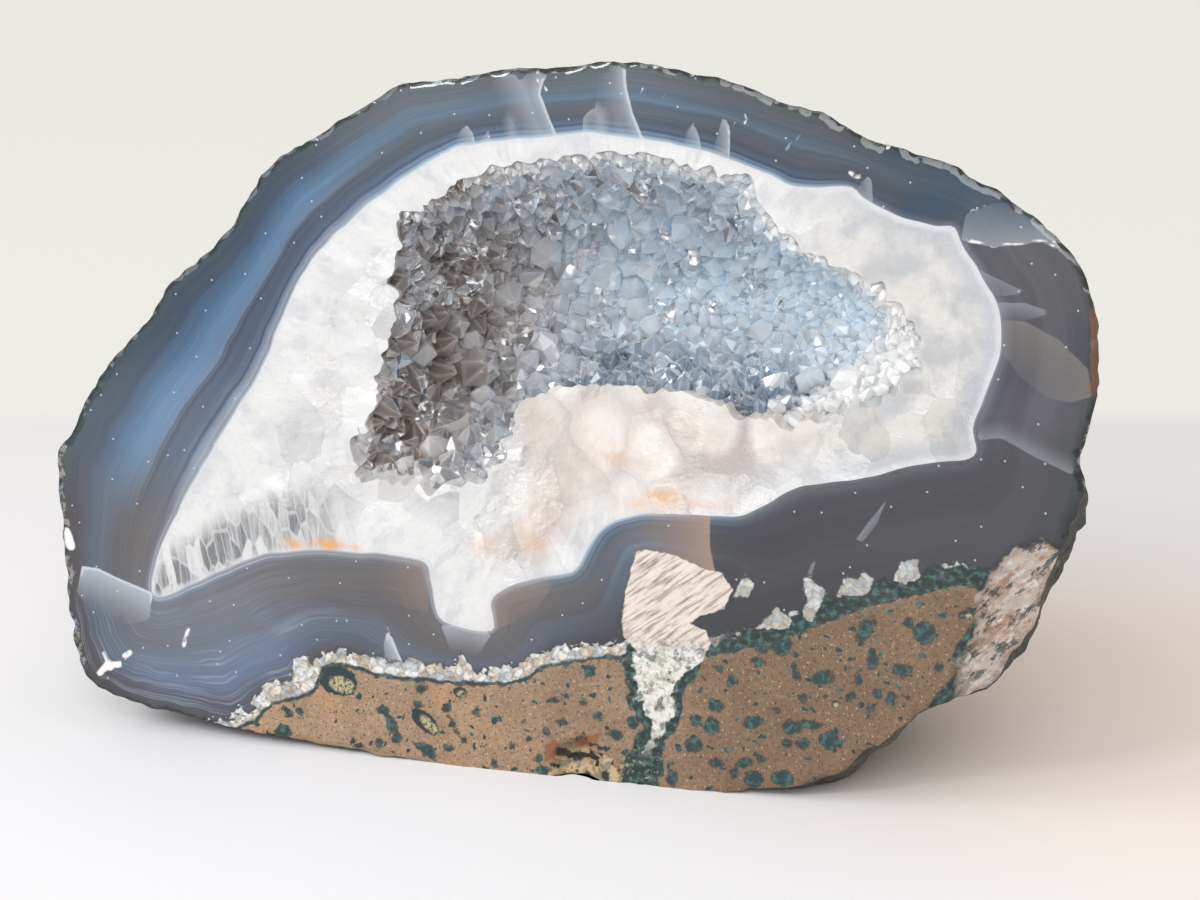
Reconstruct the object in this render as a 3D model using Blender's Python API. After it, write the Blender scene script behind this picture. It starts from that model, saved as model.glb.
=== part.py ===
"""A druzy agate end piece: the cut and polished end of an agate nodule, still on its basalt,
with a hollow lined by quartz crystals.

The stone is one solid: banded agate round a thick layer of white quartz, bonded to brown
basalt below. The quartz points that line the hollow are one crust, fused to each other.

Sizes are in millimetres on the polished face, which is the plane that the saw left:
u runs to the right, v runs up the face, and w runs back into the stone from it.
The face leans back a little, and the foot is ground flat so that the stone stands.
"""

import math
import random

import bmesh
import bpy
import numpy as np
from mathutils import Matrix, Vector, geometry, noise

MM = 0.001

# Driving dimensions, in millimetres and degrees
STONE_DEPTH = 85.0
LEAN_BACK = 5.0
HOLLOW_DEPTH = 44.0
CRUST_THICKNESS = 2.4
FIT_GAP = 0.35

# How the rough back of the stone closes in behind the face
BACK_MIDDLE = (0.0, 62.0)
BACK_OVAL = (98.0, 68.0)
BACK_SINKS = 0.30
BACK_TAPER = 0.05
BACK_LAST_RING = 84.0
BACK_CROWDING = 1.15

# Lumps and pits of the rind, which grow from nothing at the face's edge
RIND_GROWS_OVER = 9.0
RIND_LEANS_BACK = 0.6
RIND_LUMP_HEIGHT = 4.0
RIND_LUMP_SIZE = 24.0
RIND_PIT_HEIGHT = 1.8
RIND_PIT_SIZE = 13.0
RIND_PIT_SHIFT = (9, 4, 2)

# How the hollow closes in behind its mouth
MOUTH_MIDDLE = (15.0, 90.0)
HOLLOW_END = (4.0, 88.0)
HOLLOW_END_RADII = (46.0, 26.0)
HOLLOW_LAST_RING = 80.0
HOLLOW_FULLNESS = 0.75

# The row frame's origin, under the middle of the stone's box
ORIGIN_U = 0.25
ORIGIN_BACK = 44.4

# How finely the curved surfaces are divided
RIM_POINTS = 96
MOUTH_POINTS = 60
RIND_RINGS = 14
HOLLOW_RINGS = 6

# Quartz points of the crust. Height and uneven shoulders are shares of a point's radius
CRYSTAL_COUNT = 165
CRYSTAL_TRIES = 9900
CRYSTAL_RADIUS = (3.8, 6.8)
CRYSTAL_HEIGHT = (1.1, 1.6)
CRYSTAL_SHOULDER = 0.14
CRYSTAL_ROOT = 3.0
CRYSTAL_SPACING = 0.62
CRYSTAL_TILT = 0.34
CRYSTAL_SEED = 7
CRYSTALS_GET_SMALL_BY = 0.6
CRYSTAL_MIN_DEPTH = 0.5
CRYSTALS_TO_FRONT = 0.9

# How far the crust's blank reaches past the hollow's wall and the face before it is trimmed
BLANK_PAST_WALL = 1.2
BLANK_PAST_FACE = 2.0
CORE_PAST_FACE = 4.0

# The polished face's outline, anticlockwise from its left end
RIM = [
    (-100, 55), (-100, 47), (-99, 38), (-98.5, 28), (-97, 18), (-95, 11), (-90, 7.5),
    (-80, 5), (-70, 3.8), (-60, 2.6), (-45, 1.2), (-30, 0.4), (-15, -1), (8, -1.6),
    (28, -1.2), (40, 1), (50, 3), (56, 5.5), (60, 9), (66, 13.5), (72, 19), (78, 21.8),
    (84, 24.8), (86.5, 30), (90, 36), (92, 43), (94.5, 50), (97, 57), (98.2, 62),
    (97, 67), (98.6, 72), (99.6, 79), (99.5, 87), (98, 94), (95.5, 100.5), (91.5, 105),
    (85, 110.2), (79, 113.6), (72, 117), (66, 119.2), (56, 121.6), (49.5, 125.3),
    (42, 127.2), (34, 130), (24, 132.1), (12.5, 133.4), (0, 132), (-10, 131.3),
    (-20, 129.5), (-30, 127.8), (-38, 123), (-50, 116), (-57, 111), (-62, 103),
    (-68, 95.5), (-76, 89.3), (-79.5, 84), (-88, 74), (-94, 65.5), (-97.5, 58.5),
]

# Where the agate meets the white quartz, anticlockwise from the sharp corner at lower left
QUARTZ_EDGE = [
    (-79.5, 28), (-73, 30), (-65, 34.2), (-57, 37.6), (-50, 39), (-40, 39.8), (-25, 39.2),
    (-22.5, 35), (-20, 28), (-10.3, 26.8), (-10.6, 32), (-8.5, 34.8), (-3, 37.3),
    (3, 38.8), (6, 40), (8.5, 45), (11.5, 48.5), (17, 51), (25, 51.7), (37, 52.5),
    (45, 57.2), (50, 59), (60, 61), (68, 63.8), (78.3, 66), (78, 71), (79.5, 76),
    (82, 84), (82, 90), (80.5, 94.5), (77.5, 99), (74.5, 103.5), (73, 106.3),
    (69.5, 106.3), (63, 108), (57, 110.5), (54, 112.4), (45, 112.3), (40, 114),
    (32, 116.8), (22, 118.8), (12, 119.8), (5, 120.2), (-5, 118.9), (-15, 117.5),
    (-20, 116), (-30, 110), (-40, 102), (-47.5, 94), (-52.5, 85), (-56.3, 75),
    (-62.5, 65), (-69, 54.5), (-74.3, 45), (-78.5, 36),
]

# The hollow's mouth in the face, anticlockwise from its left end
MOUTH = [
    (-31.5, 94), (-30.5, 87), (-33.5, 78), (-34.5, 70), (-37, 62), (-38.5, 55.5),
    (-33, 53.2), (-24, 53), (-15, 54), (-9, 58), (-6.5, 64), (-4.5, 69.5), (2, 72.6),
    (12, 73.4), (24, 73), (33, 71), (41, 69.2), (50, 70), (59, 72.5), (66, 77.5),
    (68.5, 84), (67.5, 91), (62, 98), (53, 103), (44, 107.5), (37, 112.5), (28, 115.4),
    (18, 116.7), (7, 117), (-4, 115.6), (-14, 113), (-22, 109), (-28, 102.5),
]

# The top of the basalt on the face, from the left end of the foot to the right side
BASALT_TOP = [
    (-56, 8), (-47, 14), (-39, 18.5), (-30, 17.3), (-9, 18.3), (0, 23), (15, 26),
    (32, 27), (48.5, 32), (63.5, 41.2), (75, 46), (81, 43), (78, 33), (80, 27),
]
BASALT_LEFT_END = (-62.5, 2.9)
BASALT_RIGHT_END = (84, 24.8)

# Colours, roughness and metallic value of each finish
FINISHES = {
    "banded_agate": ((0.13, 0.17, 0.23, 1), 0.08),
    "white_quartz": ((0.80, 0.80, 0.79, 1), 0.15),
    "brown_basalt": ((0.24, 0.16, 0.11, 1), 0.45),
    "dark_rind": ((0.06, 0.07, 0.06, 1), 0.85),
    "quartz_crystal": ((0.58, 0.65, 0.71, 1), 0.12),
}


def clear_scene():
    for obj in list(bpy.data.objects):
        bpy.data.objects.remove(obj)


def finish(name):
    """A Principled material with the colour and roughness of one of the stone's finishes."""
    colour, roughness = FINISHES[name]
    material = bpy.data.materials.new(name)
    material.use_nodes = True
    shader = material.node_tree.nodes["Principled BSDF"]
    shader.inputs["Base Color"].default_value = colour
    shader.inputs["Roughness"].default_value = roughness
    shader.inputs["Metallic"].default_value = 0.0
    return material


def smooth_loop(points, count):
    """count points, evenly spaced, on the closed smooth curve through the given ones."""
    p = np.array(points, float)
    before, after, beyond = np.roll(p, 1, 0), np.roll(p, -1, 0), np.roll(p, -2, 0)
    t = np.linspace(0, 1, 12, endpoint=False)[:, None, None]
    curve = 0.5 * (
        2 * p
        + (after - before) * t
        + (2 * before - 5 * p + 4 * after - beyond) * t**2
        + (3 * p - before - 3 * after + beyond) * t**3
    )
    curve = curve.transpose(1, 0, 2).reshape(-1, 2)
    closed = np.vstack([curve, curve[:1]])
    along = np.concatenate([[0], np.cumsum(np.linalg.norm(np.diff(closed, axis=0), axis=1))])
    wanted = np.linspace(0, along[-1], count, endpoint=False)
    return np.stack([np.interp(wanted, along, closed[:, k]) for k in (0, 1)], axis=1)


def face_frame():
    """The matrix from (u, v, w) in millimetres to the row frame in metres."""
    to_row = Matrix(((1, 0, 0, 0), (0, 0, 1, 0), (0, 1, 0, 0), (0, 0, 0, 1)))
    lean = Matrix.Rotation(-math.radians(LEAN_BACK), 4, "X")
    place = Matrix.Translation((-ORIGIN_U * MM, -ORIGIN_BACK * MM, 0))
    return place @ lean @ to_row @ Matrix.Scale(MM, 4)


def rind_rings(rim):
    """Rings of (u, v, w) from the face's outline back over the rough outside, and its last point.

    The outline turns into an oval on the way back, so its corners don't run on as ridges.
    """
    middle, radii = np.array(BACK_MIDDLE), np.array(BACK_OVAL)
    towards = (rim - middle) / radii
    oval = towards / np.linalg.norm(towards, axis=1, keepdims=True) * radii
    rings = []
    for k in range(RIND_RINGS + 1):
        angle = math.radians(BACK_LAST_RING) * (k / RIND_RINGS) ** BACK_CROWDING
        t = math.sin(angle)
        w = STONE_DEPTH * t
        share = math.cos(angle) * (1 - BACK_TAPER * t)
        centre = middle - (0, BACK_SINKS * w)
        ring = centre + share * ((1 - t) * (rim - middle) + t * oval)
        ring = np.column_stack([ring, np.full(len(ring), w)])
        rings.append([roughen(point, centre, w) for point in ring])
    last = (middle[0], middle[1] - BACK_SINKS * STONE_DEPTH, STONE_DEPTH)
    return rings, roughen(np.array(last), middle, STONE_DEPTH)


def roughen(point, centre, w):
    """Moves a point of the rind in or out, by lumps and pits. The face's own edge stays."""
    outward = Vector((point[0] - centre[0], point[1] - centre[1], RIND_LEANS_BACK * w)).normalized()
    lump = noise.noise(Vector(point) / RIND_LUMP_SIZE) * RIND_LUMP_HEIGHT
    pit = noise.noise(Vector(point) / RIND_PIT_SIZE + Vector(RIND_PIT_SHIFT)) * RIND_PIT_HEIGHT
    growing = min(1.0, w / RIND_GROWS_OVER)
    return Vector(point) + outward * (lump + pit) * growing


def hollow_rings(mouth, count):
    """Rings of (u, v, w) from the hollow's mouth to near its end, and its last point.

    The mouth's ragged outline turns into an ellipse on the way in, and the rings drift to
    the left, so the right wall slopes gently and the left one is steep.
    """
    start, end = np.array(MOUTH_MIDDLE), np.array(HOLLOW_END)
    turn = np.linspace(0, 2 * math.pi, len(mouth), endpoint=False)
    first = math.atan2(mouth[0][1] - start[1], mouth[0][0] - start[0])
    oval = np.column_stack([np.cos(first + turn), np.sin(first + turn)]) * HOLLOW_END_RADII
    rings = []
    for k in range(count + 1):
        angle = math.radians(HOLLOW_LAST_RING) * k / count
        t = math.sin(angle)
        share = math.cos(angle) ** HOLLOW_FULLNESS
        ring = start + (end - start) * t + share * ((1 - t) * (mouth - start) + t * oval)
        rings.append(np.column_stack([ring, np.full(len(ring), HOLLOW_DEPTH * t)]))
    return np.array(rings), np.array([*end, HOLLOW_DEPTH])


def inward_normals(rings, last):
    """Unit normals of the hollow's wall, pointing into the hollow. At the mouth they lie in the face."""
    around = np.roll(rings, -1, 1) - np.roll(rings, 1, 1)
    deeper = np.gradient(rings, axis=0)
    normals = np.cross(deeper, around)
    normals[0, :, 2] = 0
    normals /= np.linalg.norm(normals, axis=2, keepdims=True)
    to_middle = (np.array([*MOUTH_MIDDLE, 0]) + last) / 2 - rings
    facing = np.sign((normals * to_middle).sum(axis=2).mean())
    return normals * facing


def add_rings(bm, rings):
    """Adds rings of vertices joined by quads, and returns the vertices ring by ring."""
    made = [[bm.verts.new(point) for point in ring] for ring in rings]
    for ring, after in zip(made, made[1:]):
        for i in range(len(ring)):
            j = (i + 1) % len(ring)
            bm.faces.new((ring[i], ring[j], after[j], after[i]))
    return made


def add_cap(bm, ring, point):
    """Closes a ring with a fan to one point."""
    tip = bm.verts.new(point)
    for i in range(len(ring)):
        bm.faces.new((ring[i], ring[(i + 1) % len(ring)], tip))


def inside(point, loop):
    """True if a point of the face lies inside a closed outline."""
    u, v = point
    a, b = np.asarray(loop), np.roll(loop, -1, 0)
    spans = (a[:, 1] > v) != (b[:, 1] > v)
    rise = np.where(spans, b[:, 1] - a[:, 1], 1.0)
    crossing = a[:, 0] + (v - a[:, 1]) / rise * (b[:, 0] - a[:, 0])
    return bool((spans & (u < crossing)).sum() % 2)


def nearest(loop, point):
    return int(np.argmin(np.linalg.norm(loop - point, axis=1)))


def add_polished_face(bm, rim, quartz_edge, mouth):
    """The flat face between the rim and the mouth, with edges along every change of stone."""
    loops = [rim, quartz_edge, mouth]
    points = [tuple(p) for loop in loops for p in loop]
    edges, start = [], 0
    for loop in loops:
        edges += [(start + i, start + (i + 1) % len(loop)) for i in range(len(loop))]
        start += len(loop)
    left, right = nearest(rim, BASALT_LEFT_END), nearest(rim, BASALT_RIGHT_END)
    top = [left, *range(start, start + len(BASALT_TOP)), right]
    points += BASALT_TOP
    edges += list(zip(top, top[1:]))
    flat = geometry.delaunay_2d_cdt([Vector(p) for p in points], edges, [], 1, 1e-5)
    verts = [bm.verts.new((p[0], p[1], 0)) for p in flat[0]]
    basalt = [rim[left], *BASALT_TOP, rim[right]]
    # The rim's points run anticlockwise, so its foot lies between these two
    basalt += [rim[i] for i in range(right - 1, left, -1)]
    for corners in flat[2]:
        middle = sum((flat[0][c] for c in corners), Vector((0, 0))) / len(corners)
        if not inside(middle, mouth) and inside(middle, rim):
            face = bm.faces.new([verts[c] for c in corners])
            in_quartz, in_basalt = inside(middle, quartz_edge), inside(middle, basalt)
            face.material_index = 1 if in_quartz else 2 if in_basalt else 0


def make_object(name, bm, finishes):
    """Turns a bmesh in (u, v, w) into an object in the row frame."""
    bm.transform(face_frame())
    bmesh.ops.remove_doubles(bm, verts=bm.verts, dist=2e-6)
    bmesh.ops.recalc_face_normals(bm, faces=bm.faces)
    mesh = bpy.data.meshes.new(name)
    bm.to_mesh(mesh)
    bm.free()
    for material in finishes:
        mesh.materials.append(material)
    obj = bpy.data.objects.new(name, mesh)
    bpy.context.scene.collection.objects.link(obj)
    return obj


def cut_foot(bm):
    """Grinds the foot flat: what lies under the row frame's ground is cut off."""
    to_face = face_frame().inverted()
    ground = to_face @ Vector((0, 0, 0))
    down = (to_face.to_3x3() @ Vector((0, 0, -1))).normalized()
    everything = [*bm.verts, *bm.edges, *bm.faces]
    cut = bmesh.ops.bisect_plane(
        bm, geom=everything, dist=1e-4, plane_co=ground, plane_no=down, clear_outer=True
    )
    rim_of_cut = [e for e in cut["geom_cut"] if isinstance(e, bmesh.types.BMEdge)]
    foot = bmesh.ops.triangle_fill(bm, edges=rim_of_cut, use_beauty=True)
    for face in foot["geom"]:
        if isinstance(face, bmesh.types.BMFace):
            face.material_index = 3


def make_stone(rim, quartz_edge, mouth):
    """The agate, the quartz layer and the basalt, which grew and were cut as one piece."""
    bm = bmesh.new()
    rings, back = rind_rings(rim)
    skin = add_rings(bm, rings)
    add_cap(bm, skin[-1], back)
    for face in bm.faces:
        face.material_index = 3
    before = set(bm.faces)
    wall, end = hollow_rings(mouth, HOLLOW_RINGS)
    walls = add_rings(bm, wall)
    add_cap(bm, walls[-1], end)
    for face in set(bm.faces) - before:
        face.material_index = 1
    add_polished_face(bm, rim, quartz_edge, mouth)
    bmesh.ops.remove_doubles(bm, verts=bm.verts, dist=0.01)
    cut_foot(bm)
    names = ("banded_agate", "white_quartz", "brown_basalt", "dark_rind")
    stone = make_object("agate_stone", bm, [finish(name) for name in names])
    stone.data.shade_smooth()
    stone.data.set_sharp_from_angle(angle=math.radians(32))
    return stone


def offset_body(mouth, distance, forward):
    """A closed body that fills the hollow to within distance of its wall, and forward of the face."""
    rings, end = hollow_rings(mouth, HOLLOW_RINGS)
    normals = inward_normals(rings, end)
    moved = rings + normals * distance
    moved[0, :, 2] = -forward
    bm = bmesh.new()
    walls = add_rings(bm, moved)
    add_cap(bm, walls[-1], end - (0, 0, distance))
    bm.faces.new(walls[0])
    return bm


def crystal(bm, foot, axis, radius, height, spin):
    """One quartz point: a six-sided prism with a six-sided tip, standing on foot along axis."""
    turned = axis.to_track_quat("Z", "Y").to_matrix()
    around = [spin + k * math.pi / 3 for k in range(6)]
    base, shoulder = [], []
    for k, angle in enumerate(around):
        side = turned @ Vector((math.cos(angle), math.sin(angle), 0)) * radius
        base.append(bm.verts.new(foot + side))
        uneven = CRYSTAL_SHOULDER * radius * (k % 2)
        shoulder.append(bm.verts.new(foot + side + axis * (height - radius + uneven)))
    tip = bm.verts.new(foot + axis * height)
    bm.faces.new(base)
    for k in range(6):
        after = (k + 1) % 6
        bm.faces.new((base[k], base[after], shoulder[after], shoulder[k]))
        bm.faces.new((shoulder[k], shoulder[after], tip))


def crystal_places(mouth):
    """Feet, axes and radii of the quartz points: spread over the wall, the largest placed first."""
    rings, end = hollow_rings(mouth, HOLLOW_RINGS)
    normals = inward_normals(rings, end)
    draw = random.Random(CRYSTAL_SEED)
    low, high = CRYSTAL_RADIUS
    places = []
    for _ in range(CRYSTAL_TRIES):
        progress = len(places) / (CRYSTAL_COUNT * CRYSTALS_GET_SMALL_BY)
        radius = high - (high - low) * min(1, progress)
        k = int(draw.random() ** CRYSTALS_TO_FRONT * HOLLOW_RINGS)
        i, t, s = draw.randrange(len(mouth)), draw.random(), draw.random()
        j = (i + 1) % len(mouth)
        on_wall = rings[k, i] * (1 - t) * (1 - s) + rings[k, j] * t * (1 - s)
        on_wall = on_wall + rings[k + 1, i] * (1 - t) * s + rings[k + 1, j] * t * s
        crowded = any(
            np.linalg.norm(on_wall - foot) < CRYSTAL_SPACING * (other + radius)
            for foot, other, _ in places
        )
        if crowded or on_wall[2] < CRYSTAL_MIN_DEPTH:
            continue
        tilt = Vector([draw.gauss(0, CRYSTAL_TILT) for _ in range(3)])
        axis = (Vector(normals[k, i]) + tilt).normalized()
        places.append((on_wall, radius, axis))
        if len(places) == CRYSTAL_COUNT:
            break
    return places, draw


def add_modifier(obj, other, operation):
    """Joins or trims obj by another body, which stays in the scene as a hidden helper."""
    other.hide_render = True
    other.display_type = "WIRE"
    modifier = obj.modifiers.new(operation.title(), "BOOLEAN")
    modifier.operation = operation
    modifier.solver = "EXACT"
    modifier.use_self = True
    modifier.object = other


def apply_modifiers(obj):
    """Makes the modifiers' result the object's own mesh, and takes out the helpers."""
    bpy.context.view_layer.update()
    graph = bpy.context.evaluated_depsgraph_get()
    mesh = bpy.data.meshes.new_from_object(obj.evaluated_get(graph))
    helpers = [modifier.object for modifier in obj.modifiers]
    obj.modifiers.clear()
    obj.data = mesh
    for helper in helpers:
        bpy.data.objects.remove(helper)


def keep_largest_body(mesh):
    """Removes all but the largest body: splinters, and pockets closed in by crystals."""
    bm = bmesh.new()
    bm.from_mesh(mesh)
    bodies, seen = [], set()
    for start in bm.faces:
        if start in seen:
            continue
        body, waiting = [], [start]
        seen.add(start)
        while waiting:
            face = waiting.pop()
            body.append(face)
            for other in (f for edge in face.edges for f in edge.link_faces):
                if other not in seen:
                    seen.add(other)
                    waiting.append(other)
        bodies.append(body)
    bodies.sort(key=len)
    small = [face for body in bodies[:-1] for face in body]
    bmesh.ops.delete(bm, geom=small, context="FACES")
    bm.to_mesh(mesh)
    bm.free()


def make_crust(mouth):
    """The quartz points and the thin layer that they stand on, trimmed to the hollow and the face."""
    quartz = finish("quartz_crystal")
    outside = offset_body(mouth, -BLANK_PAST_WALL, BLANK_PAST_FACE)
    core_body = offset_body(mouth, CRUST_THICKNESS, CORE_PAST_FACE)
    core = make_object("crust_core", core_body, [quartz])
    plug = make_object("crust_limit", offset_body(mouth, FIT_GAP, 0.0), [quartz])
    points = bmesh.new()
    places, draw = crystal_places(mouth)
    for on_wall, radius, axis in places:
        foot = Vector(on_wall) - axis * CRYSTAL_ROOT
        height = radius * draw.uniform(*CRYSTAL_HEIGHT) + CRYSTAL_ROOT
        crystal(points, foot, axis, radius, height, draw.uniform(0, math.pi / 3))
    grown = make_object("crust_points", points, [quartz])
    crust = make_object("crystal_crust", outside, [quartz])
    add_modifier(crust, core, "DIFFERENCE")
    add_modifier(crust, grown, "UNION")
    add_modifier(crust, plug, "INTERSECT")
    apply_modifiers(crust)
    keep_largest_body(crust.data)
    return crust


def main():
    clear_scene()
    rim = smooth_loop(RIM, RIM_POINTS)
    quartz_edge = smooth_loop(QUARTZ_EDGE, MOUTH_POINTS)
    mouth = smooth_loop(MOUTH, MOUTH_POINTS)
    make_stone(rim, quartz_edge, mouth)
    make_crust(mouth)


main()
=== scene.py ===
# %% [markdown]
# # A druzy agate end piece
# The real object is the sawn and polished end of an agate nodule. It is one stone: a wall of
# banded agate, a thick layer of white quartz inside it, a hollow lined by quartz points, and
# brown basalt along its foot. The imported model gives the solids. This script gives the looks.
# It makes one closed mesh for the stone, with the polished face, the rough back and the
# hollow's wall, and one joined mesh for the 1,500 or so quartz points.

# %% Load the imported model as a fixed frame
import math
import random

import bpy
import numpy as np
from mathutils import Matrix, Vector, geometry, noise


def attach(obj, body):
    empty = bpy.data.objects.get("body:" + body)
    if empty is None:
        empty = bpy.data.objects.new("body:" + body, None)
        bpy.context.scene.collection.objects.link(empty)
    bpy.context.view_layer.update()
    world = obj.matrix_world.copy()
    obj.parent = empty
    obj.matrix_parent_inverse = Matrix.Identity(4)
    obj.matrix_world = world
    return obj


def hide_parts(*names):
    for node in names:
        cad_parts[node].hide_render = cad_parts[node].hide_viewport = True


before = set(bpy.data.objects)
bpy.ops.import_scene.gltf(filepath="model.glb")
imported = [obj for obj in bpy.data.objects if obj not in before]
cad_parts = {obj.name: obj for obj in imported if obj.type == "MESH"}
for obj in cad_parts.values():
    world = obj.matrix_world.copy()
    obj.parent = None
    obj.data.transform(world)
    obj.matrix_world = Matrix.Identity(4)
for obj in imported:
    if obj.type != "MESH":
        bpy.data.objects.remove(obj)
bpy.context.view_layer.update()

print("solids:", sorted(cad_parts))

# %% [markdown]
# ## One flat face to measure from
# A saw cut leaves a plane, and nearly all that the photograph shows lies on it. So every
# marking is placed in that plane, in millimetres: u runs to the right, v runs up the face,
# and w runs back into the stone. One function turns these into the frame's metres. It could
# also be a parent empty, but the meshes have to sit in the frame with no transform.

# %% Turn face millimetres into the frame's metres
LEAN_BACK = math.radians(5.0)
ORIGIN_U = 0.25
ORIGIN_BACK = 44.4
MM = 0.001


def to_frame(points):
    """Rows of u, v, w in millimetres as rows of x, y, z in metres."""
    u, v, w = np.asarray(points, float).T
    up, back = math.cos(LEAN_BACK), math.sin(LEAN_BACK)
    y = v * back + w * up - ORIGIN_BACK
    return np.column_stack([u - ORIGIN_U, y, v * up - w * back]) * MM


print("top of the face:", to_frame([(12.5, 133.4, 0)]).round(4).tolist())

# %% [markdown]
# ## The camera
# It comes first, because all the rest is judged through it. The photograph looks at the
# stone from the right by 16 degrees and down by 14, with a long lens, so there is little
# perspective. The target and the distance put the face's two ends and its foot where they
# are in the picture.

# %% Place the camera
CAMERA_TURN = math.radians(16.0)
CAMERA_DOWN = math.radians(14.0)
CAMERA_TARGET = (11.469 - ORIGIN_U, -ORIGIN_BACK, 63.724)
CAMERA_DISTANCE = 483.25
LENS = 80.0

backwards = Vector((
    math.sin(CAMERA_TURN) * math.cos(CAMERA_DOWN),
    -math.cos(CAMERA_TURN) * math.cos(CAMERA_DOWN),
    math.sin(CAMERA_DOWN),
))


def add_object(name, data):
    """Puts a camera, a mesh or a light into the scene."""
    made = bpy.data.objects.new(name, data)
    bpy.context.scene.collection.objects.link(made)
    return made


camera = add_object("camera", bpy.data.cameras.new("camera"))
camera.data.lens = LENS
camera.data.sensor_width = 36.0
camera.data.clip_start = 0.01
camera.location = (Vector(CAMERA_TARGET) + backwards * CAMERA_DISTANCE) * MM
camera.rotation_euler = (-backwards).to_track_quat("-Z", "Y").to_euler()
bpy.context.scene.camera = camera
print("camera at", [round(c, 3) for c in camera.location])

# %% [markdown]
# ## Outlines of the face
# Each change of stone on the face is an outline of a few points, read one by one and joined
# by smooth curves. A picture could be projected here, but outlines stay sharp at any
# distance, and the same lines can cut the mesh, drive the colours and guide the bands.

# %% The stone's outline, the quartz layer and the hollow's mouth
RIM = [
    (-100, 55), (-100, 47), (-99, 38), (-98.5, 28), (-97, 18), (-95, 11), (-90, 7.5),
    (-80, 5), (-70, 3.8), (-60, 2.6), (-45, 1.2), (-30, 0.4), (-15, -1), (8, -1.6),
    (28, -1.2), (40, 1), (50, 3), (56, 5.5), (60, 9), (66, 13.5), (72, 19), (78, 21.8),
    (84, 24.8), (86.5, 30), (90, 36), (92, 43), (94.5, 50), (97, 57), (98.2, 62),
    (97, 67), (98.6, 72), (99.6, 79), (99.5, 87), (98, 94), (95.5, 100.5), (91.5, 105),
    (85, 110.2), (79, 113.6), (72, 117), (66, 119.2), (56, 121.6), (49.5, 125.3),
    (42, 127.2), (34, 130), (24, 132.1), (12.5, 133.4), (0, 132), (-10, 131.3),
    (-20, 129.5), (-30, 127.8), (-38, 123), (-50, 116), (-57, 111), (-62, 103),
    (-68, 95.5), (-76, 89.3), (-79.5, 84), (-88, 74), (-94, 65.5), (-97.5, 58.5),
]
QUARTZ_EDGE = [
    (-79.5, 28), (-73, 30), (-65, 34.2), (-57, 37.6), (-50, 39), (-40, 39.8), (-25, 39.2),
    (-22.5, 35), (-20, 28), (-10.3, 26.8), (-10.6, 32), (-8.5, 34.8), (-3, 37.3),
    (3, 38.8), (6, 40), (8.5, 45), (11.5, 48.5), (17, 51), (25, 51.7), (37, 52.5),
    (45, 57.2), (50, 59), (60, 61), (68, 63.8), (78.3, 66), (78, 71), (79.5, 76),
    (82, 84), (82, 90), (80.5, 94.5), (77.5, 99), (74.5, 103.5), (73, 106.3),
    (69.5, 106.3), (63, 108), (57, 110.5), (54, 112.4), (45, 112.3), (40, 114),
    (32, 116.8), (22, 118.8), (12, 119.8), (5, 120.2), (-5, 118.9), (-15, 117.5),
    (-20, 116), (-30, 110), (-40, 102), (-47.5, 94), (-52.5, 85), (-56.3, 75),
    (-62.5, 65), (-69, 54.5), (-74.3, 45), (-78.5, 36),
]
MOUTH = [
    (-31.5, 94), (-30.5, 87), (-33.5, 78), (-34.5, 70), (-37, 62), (-38.5, 55.5),
    (-33, 53.2), (-24, 53), (-15, 54), (-9, 58), (-6.5, 64), (-4.5, 69.5), (2, 72.6),
    (12, 73.4), (24, 73), (33, 71), (41, 69.2), (50, 70), (59, 72.5), (66, 77.5),
    (68.5, 84), (67, 90), (60.5, 95.4), (52, 99.6), (44, 103.6), (38.4, 110.6), (28, 115.2),
    (18, 116.7), (7, 117), (-4, 115.6), (-14, 113), (-22, 109), (-28, 102.5),
]

# %% The basalt and what lies along it
BASALT = [
    (-66, -6), (-62, 2.5), (-58, 4.9), (-55, 8.4), (-49.5, 10.2), (-46, 12), (-44.5, 16),
    (-41, 17.6), (-33.5, 16.4), (-24.5, 16), (-9, 16.6), (-3, 18.5), (1, 21.2), (12, 23.7),
    (22, 25), (33, 26.3), (44, 30), (53.8, 34.6), (64, 38.9), (70.4, 40.8), (77, 43),
    (80.7, 41.8), (80.4, 36.8), (76.7, 30.5), (77.5, 26.5), (73, 20.9), (71, 14), (60, -6),
]
VEIN = [
    (15, 27), (15.8, 19), (16.5, 15.5), (19.2, 11.2), (18, 7.8), (15.8, 5), (15.5, -5),
    (22.8, -5), (23, 6), (24.4, 9.5), (26.8, 13), (27, 19), (29.7, 22), (32, 27),
]
BLOCK = [
    (17.3, 44), (19.3, 44.7), (24.3, 44.2), (30, 42), (33.6, 41.6), (35.7, 38.6),
    (34, 34.6), (29.9, 33), (27.6, 31.4), (31, 30.5), (31.8, 28), (30.4, 24.7), (26, 21),
    (23.2, 15.7), (20.2, 14.9), (20, 19.8), (18.3, 22.6), (17.4, 25.8), (15.3, 28),
    (14.8, 31.2), (15.5, 36.8), (16.5, 40.8),
]
PATCH = [
    (80.5, 41), (82, 45), (86, 50), (91, 52), (96, 49), (95, 38), (90, 28), (86, 20),
    (76, 21), (76.5, 27), (79.5, 33),
]

# %% [markdown]
# ## Small helpers for curves and distances
# A closed smooth curve through the given points gives each outline. A seeded noise adds
# the chips and cusps that no one would want to type. Distances to an outline are what the
# colours need most, because bands, crusts and rims all run beside a boundary.

# %% Curves, noise and distances


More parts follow.
